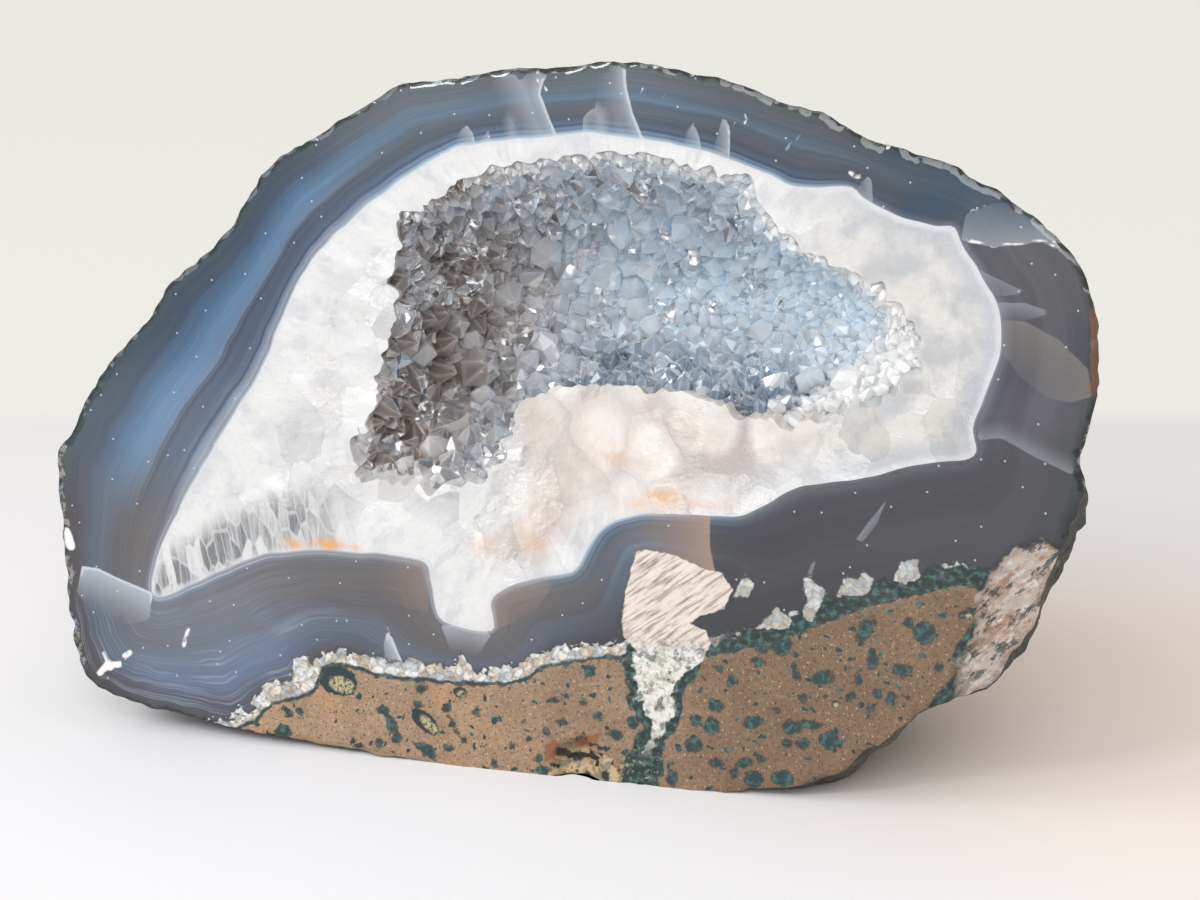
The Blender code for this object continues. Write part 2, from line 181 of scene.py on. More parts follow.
def smooth_loop(points, count):
    """count points, evenly spaced, on the closed smooth curve through the given ones."""
    p = np.array(points, float)
    before, after, beyond = np.roll(p, 1, 0), np.roll(p, -1, 0), np.roll(p, -2, 0)
    t = np.linspace(0, 1, 12, endpoint=False)[:, None, None]
    curve = 0.5 * (
        2 * p
        + (after - before) * t
        + (2 * before - 5 * p + 4 * after - beyond) * t**2
        + (3 * p - before - 3 * after + beyond) * t**3
    )
    curve = curve.transpose(1, 0, 2).reshape(-1, 2)
    closed = np.vstack([curve, curve[:1]])
    along = np.concatenate([[0], np.cumsum(np.linalg.norm(np.diff(closed, axis=0), axis=1))])
    wanted = np.linspace(0, along[-1], count, endpoint=False)
    return np.stack([np.interp(wanted, along, closed[:, k]) for k in (0, 1)], axis=1)


def grain(points, size, shift=0.0):
    """Smooth noise from -1 to 1 at each point, with lumps of about the given size."""
    p = np.asarray(points, float) / size + shift
    if p.shape[1] == 2:
        p = np.column_stack([p, np.zeros(len(p))])
    return np.array([noise.noise(Vector(row)) for row in p])


def outward(loop):
    """Unit normals of a loop that runs anticlockwise."""
    along = np.roll(loop, -1, 0) - np.roll(loop, 1, 0)
    normal = np.column_stack([along[:, 1], -along[:, 0]])
    return normal / np.linalg.norm(normal, axis=1, keepdims=True)


def to_line(points, line, closed=True):
    """Each point's distance to a line of points."""
    a = np.asarray(line, float)
    b = np.roll(a, -1, 0)
    if not closed:
        a, b = a[:-1], b[:-1]
    best = np.full(len(points), 1e9)
    for p, q in zip(a, b):
        step = q - p
        length = float(np.hypot(*step)) or 1e-9
        t = np.clip(((points - p) @ step) / length**2, 0, 1)
        best = np.minimum(best, np.hypot(*(points - p - t[:, None] * step).T))
    return best


def is_inside(points, loop):
    """True for each point that lies inside a closed outline."""
    u, v = points.T
    found = np.zeros(len(points), bool)
    a = np.asarray(loop, float)
    for (u0, v0), (u1, v1) in zip(a, np.roll(a, -1, 0)):
        if v0 == v1:
            continue
        crosses = (v0 > v) != (v1 > v)
        found ^= crosses & (u < u0 + (v - v0) / (v1 - v0) * (u1 - u0))
    return found


def depth_in(points, loop):
    """Distance to an outline: positive inside it and negative outside."""
    gap = to_line(points, loop)
    return np.where(is_inside(points, loop), gap, -gap)


def smoothstep(low, high, x):
    t = np.clip((x - low) / (high - low), 0, 1)
    return t * t * (3 - 2 * t)


# %% [markdown]
# ## The edges, with their chips
# The polished face's edge is broken by small chips, the quartz layer starts on a nearly
# clean line, and the hollow's mouth is a row of cusps, because the saw went through quartz
# points there. The same noise at several sizes makes all three. A random wobble of each
# point would look like static, since real chips have a size.

# %% Make the three fine outlines
RIM_POINTS, QUARTZ_EDGE_POINTS, MOUTH_POINTS = 640, 500, 420
rim = smooth_loop(RIM, RIM_POINTS)
chips = 0.55 * grain(rim, 7.0, 3.1) + 0.45 * grain(rim, 2.6, 8.7) - 0.25
chips -= 0.9 * np.maximum(0, grain(rim, 3.4, 21.3) - 0.32)
rim = rim + outward(rim) * chips[:, None]

quartz_edge = smooth_loop(QUARTZ_EDGE, QUARTZ_EDGE_POINTS)
quartz_edge += outward(quartz_edge) * (0.28 * grain(quartz_edge, 4.0, 5.5))[:, None]

mouth = smooth_loop(MOUTH, MOUTH_POINTS)
cusps = np.abs(grain(mouth, 5.2, 1.9)) * 3.4 + np.abs(grain(mouth, 2.3, 7.7)) * 1.3
cusps *= 1 + 0.45 * smoothstep(-14, -26, mouth[:, 0])
mouth = mouth + outward(mouth) * (cusps - 1.7)[:, None]
print("edge lengths in points:", len(rim), len(quartz_edge), len(mouth))

# %% [markdown]
# ## The polished face as a mesh
# The face is flat, so it could be a few large polygons. It gets a fine mesh for two reasons.
# The distances to the outlines are stored at its points, and chips, the rusty pocket and the
# crumbly vein are real hollows in it. A constrained triangulation keeps its edges on the
# outlines, where a plain grid would step over them.

# %% Spread points over the face
FACE_STEP = 0.92
FINE_STEP = 0.5
JITTER = 0.12
CLEAR_OF_LINES = 0.42


def lattice(step, low, high):
    """A triangular lattice of points over a rectangle."""
    rows = np.arange(low[1], high[1], step * math.sqrt(0.75))
    across = np.arange(low[0], high[0], step)
    points = [np.column_stack([across + step * 0.5 * (i % 2), np.full(len(across), v)])
              for i, v in enumerate(rows)]
    return np.vstack(points)


coarse = lattice(FACE_STEP, (-102, -3), (102, 135))
fine = lattice(FINE_STEP, (-66, -3), (96, 52))
broken = smooth_loop(BASALT, 200)


def in_soft_stone(points, inset):
    """True on the basalt, on what lies along it and in the rusty pocket at the foot."""
    found = depth_in(points, broken) > inset - 4.6
    for loop, margin in ((VEIN, 1), (BLOCK, 0.6), (PATCH, 1)):
        found |= depth_in(points, loop) > inset - margin
    return found | (np.hypot((points[:, 0] - 7) / 1.15, points[:, 1] - 3.2) < 7 - inset)


spread = np.vstack([coarse[~in_soft_stone(coarse, 0.2)], fine[in_soft_stone(fine, 0)]])
shaken = np.column_stack([grain(spread, 0.9, 4.0), grain(spread, 0.9, 9.0)])
spread = spread + JITTER * shaken
on_face = is_inside(spread, rim) & ~is_inside(spread, mouth)
for loop in (rim, quartz_edge, mouth):
    on_face &= to_line(spread, loop) > CLEAR_OF_LINES
spread = spread[on_face]
print("points on the face:", len(spread))

# %% Join them to triangles
loops = [rim, quartz_edge, mouth]
flat = np.vstack([*loops, spread])
edges = []
start = 0
for loop in loops:
    edges += [(start + i, start + (i + 1) % len(loop)) for i in range(len(loop))]
    start += len(loop)
made = geometry.delaunay_2d_cdt([Vector(p) for p in flat], edges, [], 1, 1e-6)
flat = np.array([tuple(p) for p in made[0]])
input_to_mesh = {given: i for i, found in enumerate(made[3]) for given in found}
triangles = np.array([corners for corners in made[2] if len(corners) == 3])
middles = flat[triangles].mean(axis=1)
kept = is_inside(middles, rim) & ~is_inside(middles, mouth)
triangles, middles = triangles[kept], middles[kept]
triangle_is_quartz = is_inside(middles, quartz_edge)
rim_index = [input_to_mesh[i] for i in range(len(rim))]
mouth_index = [input_to_mesh[len(rim) + len(quartz_edge) + i] for i in range(len(mouth))]
print("triangles on the face:", len(triangles))

# %% [markdown]
# ## Distances that the colours use
# Agate grows in layers from the outside in, so its bands follow both its edges. Each point
# of the face gets its distance to every outline. The shader then makes bands, crusts and
# rims from them with plain arithmetic, and the lines stay sharp between the points, because
# a distance changes evenly along a triangle's side.

# %% Measure the distances at each point of the face
to_rim = to_line(flat, rim)
quartz_gap = to_line(flat, quartz_edge)
to_quartz = np.where(is_inside(flat, quartz_edge), -quartz_gap, quartz_gap)
to_basalt = depth_in(flat, broken)
to_vein = depth_in(flat, VEIN)
to_block = depth_in(flat, BLOCK)
to_patch = depth_in(flat, PATCH)
to_outer = np.minimum(to_rim, np.maximum(-to_basalt, 0))
for gap in (to_block, to_vein):
    to_outer = np.minimum(to_outer, np.maximum(-gap, 0) + 4)
layer = to_outer / np.maximum(to_outer + np.maximum(to_quartz, 0), 1e-6)
print("agate wall in mm, thickest:", round(float(to_quartz.max()), 1))

# %% [markdown]
# ## Healed cracks, shards and flecks
# Old cracks in agate heal as pale plates. On the cut face each is a sliver with one sharp
# side, from which it fades. So a sliver here is its sharp edge, the rest of its outline,
# how far it fades and how strong it is. Pale and warm slivers are kept apart, because they
# tint the agate differently. The green fillings of the basalt are ovals, and the chunks of
# its crust are small outlines, laid out in the same way. Noise makes their edges ragged.

# %% Lay out the slivers
OUTSIDE = -9.0
PALE_SLIVERS = [
    # the bright wedge at the left end
    ([(-94.8, 32.6), (-91, 32.2), (-86, 30.4), (-79.6, 28.4)],
     [(-80.4, 23), (-86, 21), (-92, 22), (-96, 27)], 9, 1.0),
    # two healed cracks and a knob in the top
    ([(-8.0, 130.6), (-6.4, 128.4), (-4.4, 123.4), (-1.6, 117.8)],
     [(-10.4, 117.6), (-12, 124), (-12.4, 129)], 5.5, 0.55),
    ([(-2.4, 129.0), (-2.9, 127.0), (-1.6, 124), (1.0, 118.4)],
     [(-3.8, 118), (-6.4, 124), (-7.4, 128.2), (-4.6, 131.6), (-1.6, 130.4)], 4.6, 0.9),
    ([(12.9, 133), (13.2, 128.8), (14.6, 124), (16.2, 120.4), (17.6, 118.8)],
     [(11.4, 119), (11.3, 126), (9.6, 132.6)], 3.6, 0.95),
    ([(12.0, 131), (12.2, 126), (12.6, 118.8)], [(6.4, 119), (7.4, 125), (7.6, 131)], 5, 0.35),
    ([(5.0, 119.5), (5.2, 123), (6.8, 124.6), (8.3, 123.6), (9.0, 119.5)], [(7, 118)], 3.2, 0.6),
    # spikes that rise from the quartz
    ([(-17.0, 121.0), (-15.6, 119.4), (-15.0, 116.6)], [(-19.6, 116.4), (-18.4, 119.4)], 4, 0.75),
    ([(-12.6, 120.6), (-12.2, 117.2)], [(-14.4, 117.2), (-13.2, 119.6)], 2, 0.6),
    ([(-8.4, 122), (-7.9, 117.8)], [(-10.2, 117.8), (-9.0, 120)], 2, 0.5),
    ([(25.8, 122.9), (26.8, 120.6), (27.3, 117.6)], [(23.6, 118.2), (24.6, 121.2)], 3.6, 0.75),
    ([(31.2, 124.4), (32.5, 121.8), (32.6, 116.0)], [(29.0, 116.8), (30.2, 120.8)], 3.8, 0.8),
    ([(42, 118.2), (45.6, 122.4)], [(44.8, 120.4), (43, 118.4)], 2, 0.7),
    ([(58.8, 109.6), (58.2, 113.8), (57.4, 114.6)], [(54.6, 110.6)], 4, 0.6),
    # the flake at the upper right, and what lies under it
    ([(74.4, 104.0), (80, 103.0), (85, 103.8), (88.6, 104.4), (91.6, 102.8)],
     [(91, 107), (86, 110.4), (80, 110.8), (75, 108.6)], 11, 0.5),
    ([(76.8, 99.4), (81, 97.6), (86.4, 95.4)], [(82.4, 94.6), (78.6, 95)], 4, 0.32),
    ([(79.4, 93.4), (86, 93.6), (91.0, 92.2)], [(86, 90.4), (80.4, 90.6)], 4, 0.4),
    ([(78.6, 68.8), (83, 69.6), (89.6, 66.4), (95.6, 64.0)],
     [(97, 68), (92, 73), (84, 74), (79.6, 72)], 3.6, 0.36),
    # shards in the lower agate
    ([(-31.2, 26), (-29.6, 22.6), (-27.0, 17.4)], [(-31.6, 17.2), (-31.8, 22)], 5, 1.0),
    ([(-20.6, 27.2), (-15, 27.4), (-10, 26.4)], [(-13, 22), (-16, 21), (-18.4, 22.4)], 6, 0.7),
    ([(57.6, 49.0), (60.0, 52.6), (63.4, 57.6)], [(61.8, 52.8), (59.4, 49.2)], 3, 0.42),
    ([(49.2, 38.4), (50.4, 43), (51.2, 47.6)], [(49.8, 44), (48.4, 39)], 3, 0.42),
]
WARM_SLIVERS = [
    ([(82.0, 90.6), (86.4, 90.4), (92.4, 87.4), (97.6, 82.6), (98.4, 78)],
     [(94.6, 76.4), (90.0, 77.6), (86, 80.4), (82.4, 84.6)], 17, 0.62),
    ([(31.0, 52.4), (31.2, 46), (32.6, 40.4)],
     [(22, 42.4), (15, 43.6), (10.6, 47.6), (15, 51.2), (24, 52.2)], 19, 0.95),
    ([(-22.6, 35), (-24, 39.2)], [(-36, 39.4), (-33, 31), (-23, 29)], 12, 0.45),
    ([(-10.6, 26.4), (-11, 32), (-8.6, 35), (-3, 37.4)], [(2, 37), (-2, 31)], 9, 0.5),
]


def slivers(shapes):
    """For each point of the face, how far inside a sliver it is and how strong it is there."""
    edge = np.full(len(flat), OUTSIDE)
    strength = np.zeros(len(flat))
    for sharp, rest, reach, most in shapes:
        inside = depth_in(flat, sharp + rest)
        near = inside > -1.5
        gap = to_line(flat[near], sharp, closed=False)
        here = most * np.clip(1 - gap / reach, 0, 1) ** 1.4
        stronger = here > strength[near]
        strength[near] = np.where(stronger, here, strength[near])
        edge = np.maximum(edge, inside)
    return edge, strength


pale_edge, pale_strength = slivers(PALE_SLIVERS)
warm_edge, warm_strength = slivers(WARM_SLIVERS)
print("points in a sliver:", int((pale_edge > 0).sum() + (warm_edge > 0).sum()))

# %% Lay out the fillings of old gas bubbles: middle, half width, half height, turn in degrees
FILLINGS = [
    (45, 29, 2.0, 1.9, 0), (60.3, 33, 1.1, 2.6, -25), (71, 33.5, 2.0, 2.0, 0),
    (68.2, 35.2, 1.1, 0.7, 0), (62, 27.6, 0.9, 1.5, -20), (67.3, 26.2, 1.6, 1.1, 0),
    (48, 24, 0.6, 1.5, 10), (41.4, 28.3, 1.2, 1.2, 0), (33.2, 16.6, 1.5, 1.2, 0),
    (40.2, 14, 1.9, 1.1, 10), (32.4, 12.6, 1.3, 1.7, -15), (47.6, 13.8, 1.8, 1.2, 0),
    (51, 14.6, 1.8, 0.8, 0), (54.8, 12, 2.1, 1.6, -30), (50, 11, 1.3, 0.8, 0),
    (29.4, 8.6, 1.5, 1.4, 0), (33.6, 5.6, 1.3, 0.9, 0), (38.8, 6.2, 1.3, 0.9, 20),
    (40.8, 3.4, 1.9, 1.5, 0), (46.2, 4.0, 1.9, 1.5, 0), (46.8, 10.8, 0.9, 0.8, 0),
    (65.6, 20.8, 0.8, 1.2, 0), (63.2, 21.6, 0.8, 0.8, 0), (62, 18.8, 0.6, 0.8, 0),
    (36, 21.4, 0.8, 1.0, 0), (17.4, 12, 1.0, 1.0, 0), (41.8, 7.2, 0.8, 0.7, 0),
    (37, 4, 0.8, 0.9, 0), (44.4, 16.8, 0.7, 0.5, 0), (33.4, 23.6, 0.9, 0.6, 0),
    (40.8, 25.6, 1.2, 0.6, 0), (49.4, 19.4, 0.8, 0.8, 0), (58.2, 20.6, 1.0, 0.6, 40),
    (59.4, 24, 0.5, 1.1, 0), (73.8, 27.4, 0.7, 0.7, 0), (29.6, 13.4, 1.2, 0.9, 0),
    (52.8, 23.6, 2.0, 1.2, 15), (22, 3.2, 1.6, 2.0, 0), (25.4, 2.0, 1.0, 1.4, 0),
    (-23, 2.4, 2.2, 1.1, -30),
    (-30.2, 7, 1.0, 1.9, 15), (-31.6, 9.4, 1.4, 0.8, -30), (-29, 4.2, 1.0, 1.1, 0),
    (-24.2, 14.4, 1.0, 0.9, 0), (-24.8, 11.2, 0.9, 0.7, 0), (-19, 11, 0.9, 0.9, 0),
    (-17.8, 8, 0.4, 1.4, 35), (-49, 7.6, 1.1, 0.6, -25), (-51.4, 7.4, 1.2, 0.6, -30),
    (-52.4, 3.2, 1.7, 1.2, 0), (8.9, 20.8, 1.0, 1.1, 0), (14.2, 9.2, 1.4, 0.9, 0),
    (17.6, 11.6, 1.1, 1.1, 0), (10.9, 12.2, 1.0, 0.6, 0), (2, 14.6, 0.8, 0.5, 0),
    (8.1, 14.6, 0.7, 0.5, 0), (4, 10.6, 0.8, 0.5, 0), (0.4, 0.8, 1.3, 1.0, 0),
    (5.4, 1.2, 1.5, 0.7, 0), (-0.6, 3, 0.8, 0.7, 0), (-18.6, 3.2, 0.9, 0.8, 0),
    (-32.6, 2.8, 0.7, 0.8, 0), (-36.6, 2, 0.9, 0.5, 0), (-5.8, 5, 0.7, 0.5, 0),
    (-2.6, 6.6, 0.6, 0.5, 0), (0.8, 8.4, 0.6, 0.6, 0), (-14.4, 16.2, 0.7, 0.4, 0),
    (-9.4, 1.2, 0.6, 0.7, 0), (-13, 10.8, 0.6, 0.8, 0), (-15.4, 5.2, 0.5, 0.5, 0),
]
EYES = [
    (-41.2, 14.4, 4.2, 3.0, -12), (-23.3, 8.0, 3.5, 1.8, -38), (-16.4, 14.3, 1.4, 1.2, 0),
    (78.4, 37.4, 1.5, 0.9, 0), (49.2, 31.4, 0.9, 0.8, 0), (55.4, 18.9, 0.8, 0.8, 0),
]
GOLD = [(u + wide * 0.22, v - high * 0.26, wide * 0.62, high * 0.56, turn)
        for u, v, wide, high, turn in EYES]


def ovals(shapes):
    """About how many millimetres each point of the face lies inside the nearest oval."""
    inside = np.full(len(flat), OUTSIDE)
    for mid_u, mid_v, wide, high, turn in shapes:
        turn_sin, turn_cos = math.sin(math.radians(turn)), math.cos(math.radians(turn))
        du, dv = flat[:, 0] - mid_u, flat[:, 1] - mid_v
        along, across = du * turn_cos + dv * turn_sin, dv * turn_cos - du * turn_sin
        here = (1 - np.hypot(along / wide, across / high)) * min(wide, high)
        inside = np.maximum(inside, here)
    return inside


filling, eyes, gold = ovals(FILLINGS), ovals(EYES), ovals(GOLD)
print("points in a filling:", int((filling > 0).sum()), "and in an eye:", int((eyes > 0).sum()))

# %% Lay out the larger chunks of the crust, each an outline
CHUNKS = [
    [(35.8, 37.2), (37.8, 41.6), (39.8, 39.6), (38.4, 37.4)],
    [(48.6, 34.4), (49.6, 37.4), (48.6, 42.2), (51, 41), (53, 39.8), (52, 37), (50.4, 33.6)],
    [(40, 31.4), (42, 33.4), (44, 36), (45.4, 34.6), (47.2, 34), (46, 32)],
    [(54.8, 38.8), (56.2, 42.4), (58.4, 42), (59.6, 43.8), (61.4, 42.6), (60.4, 39.6)],
    [(64.8, 42.4), (66.4, 46.2), (69.2, 46.8), (69.8, 43.6), (67.4, 42)],
    [(-50.6, 12.6), (-50.2, 18), (-47.2, 18.6), (-45.8, 14.6), (-47.4, 12.2)],
    [(-57.6, 8), (-56.6, 12), (-53.6, 13.4), (-51.4, 11.4), (-52.6, 8.8)],
    [(-27.6, 17), (-27.2, 20.4), (-24.2, 19.8), (-22.6, 16.8)],
    [(-17.4, 17), (-16.6, 22.4), (-14.6, 20), (-12.6, 17)],
    [(-11.6, 16.8), (-10.6, 20), (-7.6, 19.6), (-4.4, 20.4), (-5, 17.6)],
    [(1.6, 21), (2.4, 24.2), (6, 24.4), (9.4, 25.6), (11.8, 24.4), (10, 22.6)],
]
chunk = np.full(len(flat), OUTSIDE)
for outline in CHUNKS:
    chunk = np.maximum(chunk, depth_in(flat, outline))

# %% Lay out the white flecks, each a short line with a half width
FLECKS = [
    ([(-91.2, 11.2), (-89.4, 13), (-87.0, 13.4)], 0.7), ([(-88.8, 12.4), (-90.2, 15.6)], 0.5),
    ([(-85.8, 15.2), (-84.6, 16)], 0.6), ([(-73.2, 18.4), (-72.2, 21.6)], 0.45),
    ([(16, 127.4), (16.3, 128.6)], 0.25), ([(20, 126.4), (20.2, 127.6)], 0.2),
    ([(33, 122.2), (33.2, 123.8)], 0.2), ([(35.2, 122.8), (35.3, 124.6)], 0.2),
    ([(54.4, 115.0), (55.4, 114.2), (56.2, 114.4)], 0.4), ([(-98.4, 17.6), (-96.2, 15)], 0.7),
    ([(-99.6, 36.4), (-98.2, 39), (-97.2, 36.4)], 1.1), ([(-99.8, 55.4), (-98.6, 58)], 0.8),
    ([(-3.6, 131.6), (-3.4, 129.4), (-1.8, 127.6)], 0.3), ([(-2.2, 131.2), (0.6, 131.0)], 0.3),
    ([(74.8, 104.2), (80, 103.2), (85, 103.9), (88.6, 104.6), (91.0, 103.4)], 0.32),
    ([(75.4, 108.8), (79, 110.6), (83, 110.6)], 0.12),
]
fleck = np.full(len(flat), -OUTSIDE)
for line, half_width in FLECKS:
    fleck = np.minimum(fleck, to_line(flat, line, closed=False) - half_width)

# %% [markdown]
# ## Relief of the cut face
# The agate is flat and polished, and so is the quartz, nearly. The softer stone broke out
# under the saw. The rusty pocket at the foot, the crumbly vein, the crust above the basalt
# and the patch at the lower right lie a little below the plane. They are moved in the mesh,
# since a bump alone would leave a straight silhouette and no shadow.

# %% Press the soft places in
CHIP_WIDTH, CHIP_DEPTH = 0.7, 0.9
CRUST_DEPTH, VEIN_DEPTH = 0.5, 0.7
POCKET_DEPTH = 3.0
crumbs = 0.5 + 0.5 * grain(flat, 1.7, 2.2) + 0.3 * grain(flat, 0.8, 6.1)
crust_here = smoothstep(-3.4, -2.2, to_basalt) * smoothstep(1.0, 0.2, to_basalt)
vein_here = smoothstep(-0.3, 0.6, to_vein)
patch_here = smoothstep(-0.5, 1.0, to_patch)
pocket = np.clip(1 - np.hypot((flat[:, 0] - 7) / 5.4, (flat[:, 1] - 2.6) / 5.2) ** 2, 0, 1)
soft_here = np.maximum(np.maximum(crust_here, vein_here), patch_here)
edge_chip = np.clip(1 - to_rim / CHIP_WIDTH, 0, 1) * np.clip(grain(flat, 3.1, 12.0) + 0.4, 0, 1)
sink = CRUST_DEPTH * crust_here * crumbs + VEIN_DEPTH * vein_here * crumbs
sink += patch_here * (0.8 + 0.9 * crumbs)
sink += pocket * (POCKET_DEPTH + 1.1 * crumbs)
sink += CHIP_DEPTH * edge_chip
sink *= 1 - smoothstep(0.0, -0.6, to_quartz)
in_quartz = smoothstep(0.2, 1.5, -to_quartz)
sugar = 0.10 * grain(flat, 2.1, 7.0) + 0.10 * grain(flat, 5.0, 17.0)
sink += in_quartz * (0.12 + sugar)
print("deepest hollow in the face, mm:", round(float(sink.max()), 2))
face_points = np.column_stack([flat, np.maximum(sink, 0)])

# %% [markdown]
# ## The rough back
# The photograph doesn't show it. On such a nodule it is a dome of dark weathered rind with
# lumps and pits, so rings of the outline shrink back to a point while noise at several sizes
# moves each point in or out. The outline turns into an oval on the way, or its corners
# would run on over the back as ridges. The foot is ground flat where the stone stands.

# %% Rings of the rind
STONE_DEPTH = 85.0
BACK_MIDDLE = (0.0, 62.0)
BACK_OVAL = (98.0, 68.0)
BACK_SINKS = 0.30
BACK_TAPER = 0.05
BACK_LAST_RING = 84.0
BACK_CROWDING = 1.15
RIND_RINGS = 66
EDGE_RINGS = 8


def roughened(points, centre, w):
    """Moves a ring of the rind in or out by lumps, knobs and pits."""
    away = np.column_stack([points[:, :2] - centre, np.full(len(points), 0.6 * w)])
    away /= np.linalg.norm(away, axis=1, keepdims=True)
    push = 4.0 * grain(points, 24.0)
    push += 1.8 * grain(points + (9 * 13, 4 * 13, 2 * 13), 13.0)
    knobs = grain(points, 4.2, 31.0)
    push += 0.8 * knobs - 1.1 * np.maximum(0, grain(points, 6.5, 51.0) - 0.25)
    push += 0.3 * grain(points, 1.7, 71.0)
    return points + away * (push * min(1.0, w / 9.0))[:, None]


rings = []
edge_w = face_points[rim_index, 2]
middle, radii = np.array(BACK_MIDDLE), np.array(BACK_OVAL)
towards = (rim - middle) / radii
oval = towards / np.linalg.norm(towards, axis=1, keepdims=True) * radii
for k in range(1, RIND_RINGS + 1):
    angle = math.radians(BACK_LAST_RING) * (k / RIND_RINGS) ** BACK_CROWDING
    t = math.sin(angle)
    w = STONE_DEPTH * t
    share = math.cos(angle) * (1 - BACK_TAPER * t)
    centre = middle - (0, BACK_SINKS * w)
    ring = centre + share * ((1 - t) * (rim - middle) + t * oval)
    ring = np.column_stack([ring, np.full(len(ring), w)])
    ring = roughened(ring, centre, w)
    ring[:, 2] += edge_w * max(0, 1 - k / EDGE_RINGS)
    rings.append(ring)
last = np.array([[middle[0], middle[1] - BACK_SINKS * STONE_DEPTH, STONE_DEPTH]])
print("rings of the rind:", len(rings))

# %% [markdown]
# ## The hollow's wall
# Behind the mouth the wall closes in and drifts to the left, so the right side slopes gently
# and the left side is steep. Crystals hide it, but light that passes through them falls on
# it, so it is there in full.

# %% Rings of the hollow
HOLLOW_DEPTH = 44.0
MOUTH_MIDDLE = (15.0, 90.0)
HOLLOW_END = (4.0, 88.0)
HOLLOW_END_RADII = (46.0, 26.0)
HOLLOW_LAST_RING = 80.0
HOLLOW_RINGS = 26


def hollow_rings(loop, count):
    """Rings of u, v, w from the hollow's mouth to near its end."""
    begin, end = np.array(MOUTH_MIDDLE), np.array(HOLLOW_END)
    turn = np.linspace(0, 2 * math.pi, len(loop), endpoint=False)
    first = math.atan2(loop[0][1] - begin[1], loop[0][0] - begin[0])
    oval = np.column_stack([np.cos(first + turn), np.sin(first + turn)]) * HOLLOW_END_RADII
    found = []
    for k in range(count + 1):
        angle = math.radians(HOLLOW_LAST_RING) * k / count
        t = math.sin(angle)
        share = math.cos(angle) ** 0.75
        ring = begin + (end - begin) * t + share * ((1 - t) * (loop - begin) + t * oval)
        found.append(np.column_stack([ring, np.full(len(ring), HOLLOW_DEPTH * t)]))
    return np.array(found)


walls = hollow_rings(mouth, HOLLOW_RINGS)
hollow_end = np.array([[*HOLLOW_END, HOLLOW_DEPTH]])

# %% Close the stone into one mesh
AGATE, QUARTZ, RIND = range(3)
points = np.vstack([face_points, *rings, last, *walls[1:], hollow_end])
faces = [tuple(t) for t in triangles]
finish_of = [QUARTZ if q else AGATE for q in triangle_is_quartz]


def add_strips(first_ring, start, ring_count, tip, material):
    """Quads from ring to ring, and a fan to the last point."""
    n = len(first_ring)
    before = list(first_ring)
    for k in range(ring_count):
        after = list(range(start + k * n, start + (k + 1) * n))
        for i in range(n):
            j = (i + 1) % n
            faces.append((before[i], before[j], after[j], after[i]))
            finish_of.append(material)
        before = after
    for i in range(n):
        faces.append((before[i], before[(i + 1) % n], tip))
        finish_of.append(material)


rind_start = len(face_points)
rind_tip = rind_start + len(rim) * len(rings)
add_strips(rim_index, rind_start, len(rings), rind_tip, RIND)
wall_start = rind_tip + 1
wall_tip = wall_start + len(mouth) * HOLLOW_RINGS
add_strips(mouth_index, wall_start, HOLLOW_RINGS, wall_tip, QUARTZ)
in_frame = to_frame(points)
in_frame[:, 2] = np.maximum(in_frame[:, 2], 0)  # the foot is ground flat
stone_mesh = bpy.data.meshes.new("agate_stone_fine")
stone_mesh.from_pydata(in_frame, [], faces)
stone_mesh.polygons.foreach_set("material_index", finish_of)
print("stone:", len(points), "points,", len(faces), "faces")

# %% Orange stains on the quartz: middle, half width, half height, strength
STAINS = [
    (-50.5, 40.2, 1.5, 0.8, 1.5), (-43.6, 40.6, 2.8, 1.0, 1.5), (-38, 40.3, 1.2, 0.7, 1.2),
    (-12, 43, 2.6, 2.2, 0.45), (-2.4, 45, 3.0, 3.6, 0.5), (13, 62, 3.0, 2.4, 0.35),
    (17, 52.6, 4, 1.4, 0.7), (22.5, 54.2, 4.6, 2.0, 1.0), (31, 54, 5, 1.2, 0.35),
]
stain = np.zeros(len(flat))
for u, v, wide, high, strong in STAINS:
    stain += strong * np.exp(-((flat[:, 0] - u) / wide) ** 2 - ((flat[:, 1] - v) / high) ** 2)

# %% Store the distances on the mesh
SHARP_FROM = math.radians(38)


def store(mesh, name, values, filler=0.0, domain="POINT"):
    """A value or a vector for each point or corner. Those past the given ones take the filler."""
    values = np.asarray(values, float)
    kind, field = ("FLOAT", "value") if values.ndim == 1 else ("FLOAT_VECTOR", "vector")
    many = len(mesh.vertices) if domain == "POINT" else len(mesh.loops)
    whole = np.full((many, *values.shape[1:]), float(filler))
    whole[:len(values)] = values
    mesh.attributes.new(name, kind, domain).data.foreach_set(field, whole.ravel())


store(stone_mesh, "face", points)
store(stone_mesh, "fleck", fleck, -OUTSIDE)
for name, values in (
    ("to_quartz", to_quartz), ("to_basalt", to_basalt), ("to_vein", to_vein),
    ("to_block", to_block), ("to_patch", to_patch), ("pale_edge", pale_edge),
    ("warm_edge", warm_edge), ("filling", filling), ("eyes", eyes), ("gold", gold),
    ("chunk", chunk),
):
    store(stone_mesh, name, values, OUTSIDE)
for name, values in (
    ("to_rim", to_rim), ("layer", layer), ("pale_strength", pale_strength),
    ("warm_strength", warm_strength), ("stain", stain), ("soft", soft_here),
):
    store(stone_mesh, name, values)
stone_mesh.validate()
stone_mesh.shade_smooth()
stone_mesh.set_sharp_from_angle(angle=SHARP_FROM)
stone = add_object("agate_stone_fine", stone_mesh)

# %% [markdown]
# ## Shader maths as Python
# Node trees are hard to read as code when each sum is three lines. A small class wraps a
# socket and gives it the arithmetic signs, so that `1 - mask * 0.5` adds its own Math
# nodes. A second class holds one material, with a method that makes any other node.

# %% A colour, and a socket with arithmetic


